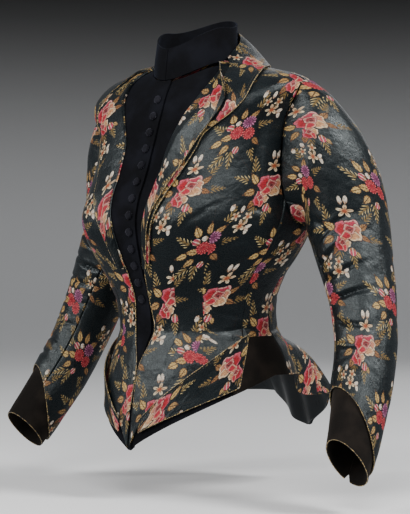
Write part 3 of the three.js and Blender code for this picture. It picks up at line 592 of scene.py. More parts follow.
def sew(name, chart, angle, level, faces, *, lift=0.0, creases=(), sewn=(), way=1,
        darts=(), unevenness=UNEVENNESS["panel"]):
    """A shell between two distances from the chart, which runs right to left on the cloth where way is -1."""
    angle, level, lift = np.broadcast_arrays(angle, level, lift)
    base = chart(angle, level)
    shape = pressed(base, creases, chart) + uneven(base, unevenness)
    outward = np.sign(faces[0] - faces[1])
    sink = sunk(base, sewn)
    flat = laid_flat(base, way)
    jump = np.zeros(angle.shape)
    for column, first, last, intake in darts:
        far = np.abs(lengths_along(base, 1) - lengths_along(base, 1)[:, column:column + 1])
        down = level[:, column]
        depth = np.clip((down - first) / DART["ends"], 0, 1) * np.clip((last - down) / DART["ends"], 0, 1)
        sink = np.maximum(sink, DART["depth"] * bell(far / DART["width"]) * depth[:, None])
        width = intake * np.interp(down, [first, WAIST, last], [0, 1, 0])
        jump[:, column:] += width[:, None]
    outer = offset_point(chart, angle, level, faces[0] + outward * (shape + lift - sink))
    inner = offset_point(chart, angle, level, faces[1] + outward * (shape + lift))
    points, quads, places = shell_arrays(outer, inner, flat)
    moved = np.zeros(len(points))
    moved[:2 * jump.size] = np.tile(jump.ravel(), 2)
    corner_flat = places[quads] + np.array(PATTERN_START.get(name, (0, 0)))
    corner_flat[..., 0] += way * moved[quads].max(1, keepdims=True) if len(darts) else 0
    piece = make_piece(f"{name}_sewn", points, quads, corner_flat)
    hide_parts(name)
    # the vest's halves and the lapels are so slender that their areas are stated a little too large
    finished[name] = {"outer": outer, "inner": inner, "piece": piece, "level": level}
    return piece


# %% [markdown]
# ## The panels of the trunk
# Each panel fills the space between two seam lines from its top to the hem, so a panel is one formula:
# mix the two lines' angles by u at every level. Front and back end at the armhole's edge where they meet
# it.

# %% Fronts, sides and backs
DARTS = [(0.3, 5.7, 12.6, 34), (0.58, 6.0, 12.2, 36)]  # place across the front, first and last level, intake
FRONT_HEM = {"atPoint": 0.04, "beside": 0.42, "angle": 9 * DEG, "from": 12}  # how many levels it is short
WIDE, MIDDLING, NARROW = 73, 49, 41  # columns of points across a panel
LEVEL_GAP = 0.02  # in levels, between pieces that end at one height
SHOULDER_SEAM = 90 * DEG


def front_hem(angle, level):
    """The brocade reaches the point, and beside it stops short of the velvet band."""
    short = mix(FRONT_HEM["atPoint"], FRONT_HEM["beside"], ease(angle / FRONT_HEM["angle"]))
    return level - short * ease((level - FRONT_HEM["from"]) / (HEM - FRONT_HEM["from"]))


def front_cut():
    u, level = columns(WIDE), rows_between(NECK, SHOULDER, SIDE_TOP, SHARED_TOP, WAIST, HEM)
    outer = np.where(level <= SHOULDER, SHOULDER_SEAM,
                     np.where(level < SIDE_TOP, armhole_edge(level, -1), seam("sideFront", level)))
    angle = mix(vest_edge(level), outer - seam_gap(outer, level), u)
    return angle, front_hem(angle, level)


def underarm_cut():
    u, left, right = columns(NARROW), "sideFront", "sideBack"
    top = np.full(u.shape, SIDE_TOP)
    for _ in range(8):  # each round brings the upper edge nearer to the armhole
        top = armhole_foot(mix(seam(left, top), seam(right, top), u) / DEG)
    upper = mix(top, SHARED_TOP, np.linspace(0, 1, 9)[:-1, None])
    level = np.concatenate([upper, rows_between(SHARED_TOP, WAIST, BASQUE - LEVEL_GAP / 2) + 0 * u])
    return between(seam(left, level), seam(right, level), level, u), level


def hip_cut():
    u, level = columns(NARROW), rows_between(BASQUE + LEVEL_GAP, HEM)
    return between(seam("sideFront", level), seam("sideBack", level), level, u), level + 0 * u


def side_back_cut():
    u, level = columns(MIDDLING), rows_between(BACK_TOP, SIDE_BACK_TOP, SHARED_TOP, WAIST, HEM)
    left = np.where(level < SIDE_BACK_TOP, armhole_edge(level, 1), seam("sideBack", level))
    return between(left, seam("back", level), level, u), level + 0 * u


def back_cut():
    u, level = columns(WIDE), rows_between(NECK, SHOULDER, BACK_TOP, SIDE_BACK_TOP, SHARED_TOP, WAIST, HEM)
    left = np.where(level <= SHOULDER, SHOULDER_SEAM,
                    np.where(level < BACK_TOP, armhole_edge(level, 1), seam("back", level)))
    return between(left, np.pi, level, u), level + 0 * u


ALL_SEWN = ("left", "right", "top")
INSIDE = 0.5  # the inner face's distance from the chart
PANELS = [  # name, cut, slot, what it rests on
    ("front", front_cut, "brocade", "vest"),
    ("underarm", underarm_cut, "brocade", "front"),
    ("hip_panel", hip_cut, "velvet", "front"),
    ("side_back", side_back_cut, "brocade", "front"),
    ("back", back_cut, "brocade", "front"),
]
dart_columns = [(int(np.argmin(np.abs(columns(WIDE)[0] - at))), *rest) for at, *rest in DARTS]
for side, sign in SIDES.items():
    for part, cut, slot, below in PANELS:
        angle, level = cut()
        sew(f"{part}_{side}", trunk_point, sign * angle, level, (CLOTH, INSIDE),
            creases=TRUNK_CREASES, sewn=ALL_SEWN, way=sign, darts=dart_columns if part == "front" else [])

# %% [markdown]
# ## Vest, band and satin lining
# The velvet vest lies under the fronts' edges, and its right half laps over the left one. Below the
# waist it narrows to a dark line. A band of the same velvet shows under the brocade's hem, and the tail
# is lined with satin.

# %% What lies under the brocade
VEST = {"lap": 10, "footLap": 3, "tuck": 9, "footTuck": 5, "widest": 89 * DEG, "inside": 0.4}
BAND_LEVELS = 0.75
BAND_TUCK = 0.6 * DEG  # the band runs on under the hip panel, so that no light shows between them
LINING = {"thickness": 1.2, "from": 12.6, "edge": 30 * DEG}


def vest_cut():
    u, level = columns(MIDDLING), rows_between(NECK, SHOULDER, SHARED_TOP, WAIST, BASQUE, HEM)
    below = ease((level - WAIST) / 2)
    lap = angle_of_half(mix(VEST["lap"], VEST["footLap"], below), level)
    edge = np.maximum(SEAM, read(SEAMS["vestHalf"], level))
    outer = angle_of_half(edge + mix(VEST["tuck"], VEST["footTuck"], below), level)
    return mix(-lap, np.minimum(outer, VEST["widest"]), u), level + 0 * u


def hem_band_cut():
    u, v = columns(WIDE), np.linspace(0, 1, 11)[:, None]
    level = mix(HEM - BAND_LEVELS, HEM, v)
    start = angle_of_half(read(SEAMS["vestHalf"], level) + VEST["footTuck"] + 2 * SEAM, level)
    return mix(start, seam("sideFront", level) + BAND_TUCK, u), level + 0 * u


for side, sign in SIDES.items():
    angle, level = vest_cut()
    bed = UNDER if side == "right" else UNDERMOST
    sew(f"vest_{side}", trunk_point, sign * angle, level, (bed + VELVET, bed + VEST["inside"]),
        creases=TRUNK_CREASES, way=sign)
    angle, level = hem_band_cut()
    sew(f"hem_band_{side}", trunk_point, sign * angle, level, (UNDER + VELVET, UNDER + VEST["inside"]),
        creases=TRUNK_CREASES, way=sign)

turn = mix(-LINING["edge"], LINING["edge"], columns(97, crowded=0))
v = np.linspace(0, 1, 33)[:, None]
lining_bed = UNDER + 1


def tail_inside(turn, level):
    """The tail's surface, counted from the middle of the back, so that one grid can cross it."""
    return trunk_point(np.pi + turn, level)


sew("tail_lining", tail_inside, -turn, mix(LINING["from"], HEM - LEVEL_GAP, v),
    (lining_bed, lining_bed - LINING["thickness"]), way=-1)

# %% [markdown]
# ## Lapels and basque flaps
# Both are laid on the front and lifted off it a little. The lapel's outer edge stands away, and the
# flap's piped upper edge gapes where a hand would slip into a pocket.

# %% Overlays on the front
LAPEL = {"gorgeInner": 0.12, "gorgeOuter": 1.85, "foot": 7.6, "standsAway": 2.6, "rise": 0.35,
         "foldGap": 0.3 * DEG, "narrowest": 1.5 * DEG}
OVERLAY = {"outside": 1.7, "inside": 0.2}  # its faces' distances from its bed
FLAP = table(
    ["topAngle", "topLevel", "hemAngle", "lift"],
    [78, 10.95, 66, 7],
    [65, 11.6, 55, 7],
    [52.5, 12.15, 45, 6],
    [41, 12.55, 35, 5],
    [27, 12.95, 24, 3],
    [9, 13.45, 9, 0.6],
)
FLAP_SHORT = 0.25


def lapel_cut():
    u, v = columns(NARROW), np.linspace(0, 1, 141)[:, None]
    inside, outside = mix(LAPEL["gorgeInner"], LAPEL["foot"], v), mix(LAPEL["gorgeOuter"], LAPEL["foot"], v)
    fold = vest_edge(inside) + LAPEL["foldGap"]
    edge = angle_of_half(read(SEAMS["lapelHalf"], outside), outside)
    edge = np.maximum(edge, vest_edge(outside) + LAPEL["narrowest"])
    lift = (CLOTH + FALL_LIFT + SEAM) * ease(u / LAPEL["rise"]) + LAPEL["standsAway"] * u * (1 - v)
    return mix(fold, edge, u), mix(inside, outside, u), lift


def flap_cut():
    u, v = columns(81), np.linspace(0, 1, 31)[:, None]
    at = {name: read(FLAP[name], u * (len(FLAP["lift"]) - 1)) for name in FLAP}
    angle = mix(at["topAngle"], at["hemAngle"], v) * DEG
    return angle, mix(at["topLevel"], HEM - FLAP_SHORT, v), at["lift"] * (1 - v) ** 2


for side, sign in SIDES.items():
    for part, cut, bed in [("lapel", lapel_cut, CLOTH + SEAM), ("basque_flap", flap_cut, CLOTH + SEAM + 0.2)]:
        angle, level, lift = cut()
        sew(f"{part}_{side}", trunk_point, sign * angle, level,
            (bed + OVERLAY["outside"], bed + OVERLAY["inside"]), lift=lift,
            creases=TRUNK_CREASES, sewn=("left",) if part == "lapel" else (), way=sign)

# %% [markdown]
# ## The two collars
# The standing collar is a plain strip of velvet on its own rings. The turned-down one starts on the
# stand, rolls over and falls to the shoulders, then runs on under the lapels as a narrow band. Its chart
# mixes the two: how much each station belongs to the stand is a column of its table.

# %% Standing and turned-down collar
COLLAR_FRONT_GAP = 0.5 * DEG
COLLAR_BACK_GAP = 0.1 * DEG  # on each side of the middle of the back
COLLAR_END = {"inside": 9, "outside": 3.5}
FALL_CLEAR = 3.2
ROLL = {"outward": 0.5, "upward": 0.85}
STAND_FACES, FALL_FACES = (0.1, 2.1), (-1.9, -0.3)  # outer and inner, in millimetres off the chart


def along_lapel(level):
    """A station where the collar is a narrow band: its edges, measured across from the lapel's outer edge."""
    level = np.float64(level)
    lapel_half, vest_half = read(SEAMS["lapelHalf"], level), read(SEAMS["vestHalf"], level)
    tuck = min(COLLAR_END["inside"], 0.45 * (lapel_half - vest_half))
    inner, outer = (float(angle_of_half(lapel_half + d, level)) / DEG for d in (-tuck, COLLAR_END["outside"]))
    return [0, 60, 0, inner, level, outer, level, 0]


FALL = table(
    ["onStand", "standAngle", "standLevel", "innerAngle", "innerLevel", "outerAngle", "outerLevel", "bulge"],
    [1, 179.8, 1.5, 179.8, 0.3, 179.8, 1.2, 5],
    [1, 150, 1.4, 150, 0.3, 150, 1.15, 5],
    [1, 122, 1.0, 122, 0.3, 128, 1.1, 4.5],
    [1, 100, 0.6, 100, 0.3, 109, 1.06, 4],
    [0.6, 86, 0.25, 84, 0.3, 84, 1.3, 3],
    [0, 80, 0.1, 65, 0.9, 60, 1.72, 0],
    [0, 70, 0, 43, 1.55, 47.5, 2.16, 0],
    *[along_lapel(level) for level in (2.75, 3.4, 4.2, 5.1, 6.1, 7.5)],
)


def fall_chart(sign):
    def chart(along, across):
        """bed + onStand (rolled - bed).

        The bed lies on the trunk, and the roll runs from the stand to the bed's outer edge.
        """
        along, across = np.broadcast_arrays(along, across)
        at = {name: read(FALL[name], along) for name in FALL}

        def bed(share):
            angle = mix(at["innerAngle"], at["outerAngle"], share) * DEG
            return offset_point(trunk_point, angle, mix(at["innerLevel"], at["outerLevel"], share),
                                np.full(along.shape, CLOTH + FALL_LIFT))

        outer = bed(1.0)
        rolled = offset_point(collar_point, at["standAngle"] * DEG, np.maximum(0.02, at["standLevel"]),
                              np.full(along.shape, -FALL_CLEAR))
        up = (outer - rolled) * np.array([1, 1, 0])
        up = ROLL["outward"] * up / np.linalg.norm(up, axis=-1, keepdims=True)
        up = up + np.array([0, 0, ROLL["upward"]])
        bulge = np.maximum(0, at["bulge"]) * np.sin(np.pi * across)
        rolled = mix(rolled, outer, across[..., None]) + up * bulge[..., None]
        point = mix(bed(across), rolled, np.clip(at["onStand"], 0, 1)[..., None])
        return point * np.array([sign, 1, 1])
    return chart


for side, sign in SIDES.items():
    u, v = columns(WIDE, crowded=0), np.linspace(0, 1, 33)[:, None]
    angle = mix(COLLAR_FRONT_GAP, np.pi - COLLAR_BACK_GAP, u)
    sew(f"collar_stand_{side}", collar_point, sign * angle, mix(2, 0, v), STAND_FACES, way=sign,
        unevenness=UNEVENNESS["collar"])
    along = mix(0.01, len(FALL["bulge"]) - 1, columns(181, crowded=0))
    sew(f"collar_fall_{side}", fall_chart(sign), along, v + 0 * along,
        [face * sign for face in FALL_FACES], way=-sign,
        unevenness=UNEVENNESS["collar"])

# %% [markdown]
# ## Sleeves and cuffs
# A two-piece sleeve has a wide upper and a narrow under piece, so its seams can follow the bent arm. The
# brocade ends in a slanting line over a velvet cuff, which is slit at the back. Most creases sit inside
# the elbow.

# %% The arms
SLEEVE_SEAM = {"front": 128 * DEG, "back": 236 * DEG}
CUFF_EDGE = {"high": 8.25, "low": 9.75, "power": 1.3, "tuck": 0.35}
CUFF_SLIT = {"phi": 252 * DEG, "gap": 0.4 * DEG, "spread": 7 * DEG, "from": 0.8}
CUFF_PEAK = {"left": 125 * DEG, "right": 70 * DEG}
CUFF_FACES = (1.3, 2.9)
SLEEVE_COLUMNS = {"upper": 97, "under": 41, "cuff": 121}


def sleeve_end(phi, side):
    """low + (high - low) (0.5 + 0.5 cos(phi - peak))^power"""
    share = (0.5 + 0.5 * np.cos(phi - CUFF_PEAK[side])) ** CUFF_EDGE["power"]
    return mix(CUFF_EDGE["low"], CUFF_EDGE["high"], share)


def arm_cut(side, first, last, count):
    u, v = columns(count), np.linspace(0, 1, 161)[:, None]
    phi = mix(first + CUFF_SLIT["gap"], last - CUFF_SLIT["gap"], u)
    return phi + 0 * v, mix(0, sleeve_end(phi, side), v)


def cuff_cut(side):
    u, v = columns(SLEEVE_COLUMNS["cuff"], crowded=0), np.linspace(0, 1, 41)[:, None]
    opening = np.maximum(0, v - CUFF_SLIT["from"]) / (1 - CUFF_SLIT["from"])
    slit = CUFF_SLIT["gap"] + CUFF_SLIT["spread"] * opening
    phi = mix(CUFF_SLIT["phi"] - FULL_TURN + slit, CUFF_SLIT["phi"] - slit, u)
    return phi, mix(sleeve_end(phi, side) - CUFF_EDGE["tuck"], WRIST, v)


def arm_chart(side):
    chart = sleeve_chart(side)
    return lambda phi, level: chart(phi, level) * np.array([SIDES[side], 1, 1])


for side, sign in SIDES.items():
    chart, front, back = arm_chart(side), SLEEVE_SEAM["front"], SLEEVE_SEAM["back"]
    for part, first, last in [("upper", back - FULL_TURN, front), ("under", front, back)]:
        phi, level = arm_cut(side, first, last, SLEEVE_COLUMNS[part])
        sew(f"sleeve_{part}_{side}", chart, phi, level, (-CLOTH * sign, -INSIDE * sign),
            creases=SLEEVE_CREASES[side], sewn=ALL_SEWN, way=-sign, unevenness=UNEVENNESS["sleeve"])
    phi, level = cuff_cut(side)
    sew(f"cuff_{side}", chart, phi, level, [face * sign for face in CUFF_FACES], way=-sign,
        unevenness=UNEVENNESS["cuff"])

# %% [markdown]
# ## Trimmings
# A piped edge is a thin twisted cord sewn between two layers. A tube carried along the edge's own points
# does it: its section is not quite round and turns as it goes, which gives the two plies of the cord.

# %% Piping, stitches and buttons
def closed_tube(rings):
    """Points and quads of a tube through rings of points, closed at both ends."""
    sides = rings.shape[1]
    numbers = np.arange(rings.shape[0] * sides).reshape(-1, sides)
    here, there = numbers[:-1], numbers[1:]
    quads = np.stack([here, np.roll(here, -1, 1), np.roll(there, -1, 1), there], -1).reshape(-1, 4)
    ends = [np.array([[row[0], row[k], row[k + 1], row[k + 2]] for k in range(1, sides - 2, 2)])
            for row in (numbers[0][::-1], numbers[-1])]
    return rings.reshape(-1, 3), np.concatenate([quads, *ends])


def tube(path, radius, sides=8, ply=0.16, turns_per_mm=0.45):
    """path + r(t) (cos t, sin t) in the plane across the path, r = radius (1 + ply cos(2t + twist))."""
    tangent = np.gradient(path, axis=0)
    tangent /= np.linalg.norm(tangent, axis=1, keepdims=True)
    helper = np.where(np.abs(tangent[:, 2:]) < 0.9, [[0.0, 0.0, 1.0]], [[1.0, 0.0, 0.0]])
    across = np.cross(tangent, helper)
    across /= np.linalg.norm(across, axis=1, keepdims=True)
    upward = np.cross(across, tangent)
    run = lengths_along(path, 0)
    t = np.arange(sides) / sides * FULL_TURN
    r = radius * (1 + ply * np.cos(2 * t[None] + run[:, None] * turns_per_mm * FULL_TURN))
    r[[0, -1]] *= 0.3  # the ends are drawn together
    c, s = np.cos(t)[None, :, None], np.sin(t)[None, :, None]
    return closed_tube(path[:, None] + r[..., None] * (c * across[:, None] + s * upward[:, None]))


def joined(parts):
    """Several meshes' arrays as one."""
    points, quads, at = [], [], 0
    for p, q in parts:
        points.append(p)
        quads.append(q + at)
        at += len(p)
    return np.concatenate(points), np.concatenate(quads)


def resampled(path, apart):
    """The path with its points evenly spaced, apart or a little more."""
    run = lengths_along(path, 0)
    places = np.linspace(0, run[-1], max(3, int(run[-1] / apart)))
    return np.stack([np.interp(places, run, path[:, i]) for i in range(3)], -1)


def edge_of(name, edge, proud=0.0, inset=0.0):
    """The middle of a finished piece's edge, moved outwards past it and up off its face."""
    grids = finished[name]
    outer, inner = grids["outer"], grids["inner"]
    if edge in ("left", "right"):
        outer, inner = outer.swapaxes(0, 1), inner.swapaxes(0, 1)
    if edge in ("right", "bottom"):
        outer, inner = outer[::-1], inner[::-1]
    out = outer[0] - outer[3]
    out /= np.maximum(np.linalg.norm(out, axis=-1, keepdims=True), 1e-6)
    up = outer[0] - inner[0]
    up /= np.linalg.norm(up, axis=-1, keepdims=True)
    return (outer[0] + inner[0]) / 2 + out * proud + up * inset


def run_of(paths):
    """The paths' whole length in centimetres."""
    return sum(lengths_along(path, 0)[-1] for path in paths) / 10


def trim(name, parts):
    piece = make_piece(name, *joined(parts))
    return piece


CORD = {"apart": 0.7, "radius": 0.6, "cuffRadius": 0.5, "proud": 0.5, "rimProud": 0.4}  # in millimetres
PIPED = [("lapel", "right"), ("lapel", "top"), ("collar_fall", "bottom"), ("basque_flap", "top"),
         ("basque_flap", "left"), ("basque_flap", "bottom")]
FRONT_PIPED = (7, 13)  # levels between which the front's own edge is piped
STITCH = {"long": 2.0, "gap": 1.5, "radius": 0.22, "above": 0.95, "apart": 0.5}  # in millimetres
STITCHED = [("lapel", "right", -5.0), ("collar_fall", "bottom", -4.0), ("basque_flap", "top", -4.0)]


def stitches(path):
    """Short tubes along a path, as a running stitch."""
    fine = resampled(path, STITCH["apart"])
    long = int(STITCH["long"] / STITCH["apart"])
    each = int((STITCH["long"] + STITCH["gap"]) / STITCH["apart"])
    starts = range(0, len(fine) - each, each)
    return [tube(fine[k:k + long + 1], STITCH["radius"], sides=5, ply=0, turns_per_mm=0) for k in starts]


trimmings = []
for side in SIDES:
    paths = [edge_of(f"{part}_{side}", edge, CORD["proud"]) for part, edge in PIPED]
    down = finished[f"front_{side}"]["level"][:, 0]
    piped = (down > FRONT_PIPED[0]) & (down < FRONT_PIPED[1])
    paths.append(edge_of(f"front_{side}", "left", CORD["rimProud"])[piped])
    rims = [edge_of(f"sleeve_{part}_{side}", "bottom", CORD["proud"]) for part in ("upper", "under")]
    rims.append(edge_of(f"cuff_{side}", "bottom", CORD["rimProud"]))
    for name, runs, radius in [("piping", paths, CORD["radius"]), ("cuff_piping", rims, CORD["cuffRadius"])]:
        cords = [tube(resampled(path, CORD["apart"]), radius) for path in runs]
        trimmings.append(trim(f"{name}_{side}", cords))
        print(f"{name}_{side}: {run_of(runs):.0f} cm")

for side in SIDES:
    rows = []
    for part, edge, inwards in STITCHED:
        rows += stitches(edge_of(f"{part}_{side}", edge, inwards, STITCH["above"]))
    trimmings.append(trim(f"edge_stitching_{side}", rows))

BUTTON = {"radius": 5.2, "height": 4.2, "shank": 0.4, "count": 13, "firstZ": -47, "pitch": 21.4,
          "lowest": -0.55, "closed": 0.985, "rib": 0.045, "base": 0.42}
BUTTONHOLE = {"ends": (-9.5, -1.0), "above": 0.35, "radius": 0.55}


def button_arrays(seat, out):
    """A dome r = R cos(a)^0.7, z = H (base + (1 - base) sin(a)), with eight ribs that fade to its middle."""
    a = np.linspace(BUTTON["lowest"], np.pi / 2 * BUTTON["closed"], 15)[:, None]
    t = np.linspace(0, FULL_TURN, 41)[:-1]
    rib = 1 + BUTTON["rib"] * np.cos(8 * t + 2.2 * a) * np.clip(np.cos(a), 0, 1)
    r = BUTTON["radius"] * np.cos(a) ** 0.7 * rib
    z = BUTTON["height"] * (BUTTON["base"] + (1 - BUTTON["base"]) * np.sin(a))
    across = np.cross(out, [0, 0, 1.0])
    across /= np.linalg.norm(across)
    up = np.cross(across, out)
    round_it = np.cos(t)[..., None] * across + np.sin(t)[..., None] * up
    return closed_tube(seat + r[..., None] * round_it + z[..., None] * out)


levels = np.linspace(0, HEM, 4001)
front_z = trunk_point(np.zeros(len(levels)), levels)[:, 2]
buttonholes = []
for i in range(BUTTON["count"]):
    level = np.interp(-(BUTTON["firstZ"] - i * BUTTON["pitch"]), -front_z, levels)
    zero = np.zeros(1)
    seat = offset_point(trunk_point, zero, zero + level, zero + UNDER + VELVET)[0]
    out = offset_point(trunk_point, zero, zero + level, zero + 1)[0] - trunk_point(zero, zero + level)[0]
    name = f"button_{i + 1:02d}"
    piece = make_piece(f"{name}_covered", *button_arrays(seat + out * BUTTON["shank"], out))
    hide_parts(name)
    finished[name] = {"piece": piece}
    sideways = np.linspace(*BUTTONHOLE["ends"], 16)[:, None] * np.array([1.0, 0, 0])
    path = seat + out * BUTTONHOLE["above"] + sideways
    buttonholes.append(tube(path, BUTTONHOLE["radius"], sides=6, ply=0.3, turns_per_mm=0.9))
trimmings.append(trim("buttonholes", buttonholes))
print(sum(len(piece.data.polygons) for piece in trimmings), "quads of trimmings")

# %% [markdown]
# ## Drawing a woven pattern with nodes
# The brocade's flowers are woven, so they must follow the cloth, not the room: the material reads the UV
# map, where one unit is one metre of flat cloth. A flower is drawn in its own little frame, in which it
# reaches from -1 to 1. A Mapping node brings the cloth's coordinates into that frame. Of all leaves,
# only the nearest one matters at any place, so we keep the nearest frame and shade it once.


# %% A helper that adds nodes
def paint(code):
    """A colour of six hex digits as linear red, green, blue and alpha."""
    srgb = np.array([int(code[i:i + 2], 16) / 255 for i in (0, 2, 4)])
    linear = np.where(srgb <= 0.04045, srgb / 12.92, ((srgb + 0.055) / 1.055) ** 2.4)
    return (*linear.tolist(), 1.0)


class Draft:
    """Adds nodes to a tree. Each method takes numbers or sockets and returns the new node's output."""

    def __init__(self, material):
        self.tree = material.node_tree

    def add(self, kind, **settings):
        node = self.tree.nodes.new(kind)
        for key, value in settings.items():
            setattr(node, key, value)
        return node

    def feed(self, socket, value):
        if isinstance(value, bpy.types.NodeSocket):
            self.tree.links.new(value, socket)
        else:
            socket.default_value = value

    def math(self, operation, *values):
        node = self.add("ShaderNodeMath", operation=operation)
        for socket, value in zip(node.inputs, values):
            self.feed(socket, value)
        return node.outputs[0]

    def times(self, a, b):
        return self.math("MULTIPLY", a, b)

    def plus(self, a, b):
        return self.math("ADD", a, b)

    def minus(self, a, b):
        return self.math("SUBTRACT", a, b)

    def less(self, a, b):
        return self.math("LESS_THAN", a, b)

    def larger(self, a, b):
        return self.math("MAXIMUM", a, b)

    def size(self, a):
        return self.math("ABSOLUTE", a)

    def line(self, a, slope, start):
        return self.math("MULTIPLY_ADD", a, slope, start)

    def vector(self, operation, *values):
        node = self.add("ShaderNodeVectorMath", operation=operation)
        for socket, value in zip(node.inputs, values):
            self.feed(socket, value)
        return node.outputs["Value" if operation in ("LENGTH", "DOT_PRODUCT") else "Vector"]

    def mix(self, factor, a, b, kind="RGBA"):
        node = self.add("ShaderNodeMix", data_type=kind)
        first = {"RGBA": 6, "VECTOR": 4, "FLOAT": 2}[kind]
        self.feed(node.inputs[0], factor)
        self.feed(node.inputs[first], a)
        self.feed(node.inputs[first + 1], b)
        return node.outputs[{"RGBA": 2, "VECTOR": 1, "FLOAT": 0}[kind]]

    def step(self, value, low, high):
        """0 below low and 1 above high, with a smooth rise between."""
        node = self.add("ShaderNodeMapRange", interpolation_type="SMOOTHSTEP")
        for socket, number in zip(node.inputs, (value, low, high, 0.0, 1.0)):
            self.feed(socket, number)
        return node.outputs[0]

    def split(self, vector):
        node = self.add("ShaderNodeSeparateXYZ")
        self.feed(node.inputs[0], vector)
        return node.outputs[0], node.outputs[1], node.outputs[2]

    def framed(self, vector, centre, turn, size, tone=0.0):
        """The place in a frame of that centre, turn in degrees and half size.

        z carries a thousandth of a tone, which is too little to count in a distance.
        """
        node = self.add("ShaderNodeMapping", vector_type="TEXTURE")
        self.feed(node.inputs["Vector"], vector)
        node.inputs["Location"].default_value = (*centre, -tone * MM)
        node.inputs["Rotation"].default_value = (0, 0, turn * DEG)
        node.inputs["Scale"].default_value = (*size, 1)
        return node.outputs[0]

    def noise(self, vector, scale, detail=2.0):
        node = self.add("ShaderNodeTexNoise")
        self.feed(node.inputs["Vector"], vector)
        node.inputs["Scale"].default_value = scale
        node.inputs["Detail"].default_value = detail
        return node.outputs["Fac"]

    def bump(self, height, strength, distance):
        node = self.add("ShaderNodeBump")
        node.inputs["Strength"].default_value = strength
        node.inputs["Distance"].default_value = distance
        self.feed(node.inputs["Height"], height)
        return node.outputs[0]

    def in_mm(self, place):
        """A place in metres as millimetres."""
        scaled = self.vector("SCALE", place)
        scaled.node.inputs["Scale"].default_value = 1 / MM
        return scaled

    def cloth_place(self):
        return self.in_mm(self.add("ShaderNodeUVMap", uv_map="cloth").outputs[0])

    def object_place(self):
        return self.in_mm(self.add("ShaderNodeTexCoord").outputs["Object"])


def new_material(name, base, roughness, **constants):
    """A Principled material whose constant numbers sit on the shader's own sockets."""
    material = bpy.data.materials.new(name)
    material.use_nodes = True
    shader = material.node_tree.nodes["Principled BSDF"]
    shader.inputs["Base Color"].default_value = paint(base)
    shader.inputs["Roughness"].default_value = roughness
    for key, value in constants.items():
        shader.inputs[key.replace("_", " ")].default_value = value
    return material, Draft(material), shader


# %% [markdown]
# ## Two sprays
# The repeat is 106 mm wide and 150 mm high, and the second spray stands half a repeat across and up.
# Each line of the tables is one leaf, fern, star flower or bud: its spray, centre, turn and half size in
# millimetres, and a tone.

# %% Where the leaves and flowers are
REPEAT = (106.0, 150.0)
LEAVES = [
    ("rose", (-21, 10), 135, (10.4, 6.0), 0.85), ("rose", (-26, -9), 200, (10.0, 5.6), 0.35),
    ("rose", (-20, -24), 235, (9.0, 5.0), 0), ("rose", (23, 10), 42, (8.8, 4.4), 0.1),
    ("rose", (24, -6), -18, (8.4, 4.2), 0), ("rose", (10, -31), 300, (5.7, 3.2), 0.6),
    ("aster", (-22, 17), 124, (9.8, 5.4), 0.9), ("aster", (-8, 22), 100, (9.2, 5.0), 0.5),
    ("aster", (8, 20), 52, (8.8, 4.8), 0.3), ("aster", (-21, -11), 186, (9.0, 5.4), 0.7),
    ("aster", (-32, -18), 205, (8.8, 5.2), 1), ("aster", (-20, -27), 232, (9.0, 5.0), 0.6),
    ("aster", (21, -18), -35, (8.4, 4.5), 0.1),
]
FERNS = [
    ("rose", (-23, 28), 104, (9.7, 6.3), 0.6), ("rose", (-39, 9), 168, (9.7, 6.0), 0.8),
    ("rose", (-18, -36), 246, (10.1, 6.5), 0.1), ("rose", (31, 25), 50, (8.8, 5.8), 0.3),
    ("rose", (39, -3), 4, (8.8, 5.5), 0.1), ("rose", (3, -41), 275, (8.5, 5.6), 0.5),
    ("aster", (-36, 5), 150, (10.6, 6.5), 0.9), ("aster", (-26, -42), 228, (10.6, 6.5), 0.9),
    ("aster", (-9, -41), 272, (11.0, 6.5), 0.7), ("aster", (12, 39), 72, (10.1, 6.2), 0.4),
    ("aster", (28, 6), 18, (9.2, 5.6), 0.3), ("aster", (19, -36), 296, (8.8, 5.6), 0.6),
]
STARS = [
    ("rose", (3, 27), 12, (10.8, 8.2), 0.9), ("rose", (-24, -51), 40, (9.2, 8.6), 0.7),
    ("rose", (-35, -39), 75, (6.3, 5.6), 0.3), ("aster", (34, 36), 60, (6.5, 6.0), 0.4),
]
BUDS = [
    ("rose", (-1, 41), 98, (5.8, 2.7), 0.8), ("rose", (6, 42), 80, (5.8, 2.7), 0.9),
    ("rose", (-43, -28), 250, (4.9, 2.8), 0.7), ("rose", (-12, -57), 280, (4.9, 2.6), 0.9),
    ("rose", (3, -27), 265, (5.6, 4.8), 0.1), ("aster", (-19, 3), 160, (5.3, 4.9), 0.1),
    ("aster", (-10, 8), 200, (3.9, 3.7), 0.6), ("aster", (-4, -28), 250, (4.9, 4.0), 0.1),
    ("aster", (40, 23), 30, (5.3, 2.8), 0.8), ("aster", (24, 45), 80, (4.9, 2.6), 0.9),
]
ASTERS = [
    ("aster", (4, 9), 0, (9.4, 9.0), 0.9), ("aster", (-8, -5), 30, (9.4, 9.2), 0.1),
    ("aster", (8, -7), 80, (8.4, 8.2), 0.2),
]
ROSES = [("rose", (3, 2), 0, (16.5, 14.2), 0.2), ("rose", (-8, -16), 50, (10.6, 9.6), 0.8)]

# %% [markdown]
# ## The brocade
# Black satin with a weft of coloured silk. Where the satin shows, fine warp threads run down the cloth
# and reflect the studio lights in a soft streak; where a flower is woven, threads lie across it and its
# colours are mat.

# %% Brocade material
brocade, draft, shader = new_material(
    "brocade", "0c1012", 0.42, Specular_IOR_Level=0.42, Specular_Tint=paint("dde6e6"), Sheen_Weight=0.04,
    Sheen_Roughness=0.4, Sheen_Tint=paint("7f929a"))
cloth_mm = draft.cloth_place()
half = (REPEAT[0] / 2, REPEAT[1] / 2, 1.0)
low = tuple(-value for value in half)
frames = {
    "rose": draft.vector("WRAP", cloth_mm, half, low),
    "aster": draft.vector("WRAP", draft.vector("ADD", cloth_mm, (half[0], half[1], 0.0)), half, low),
}


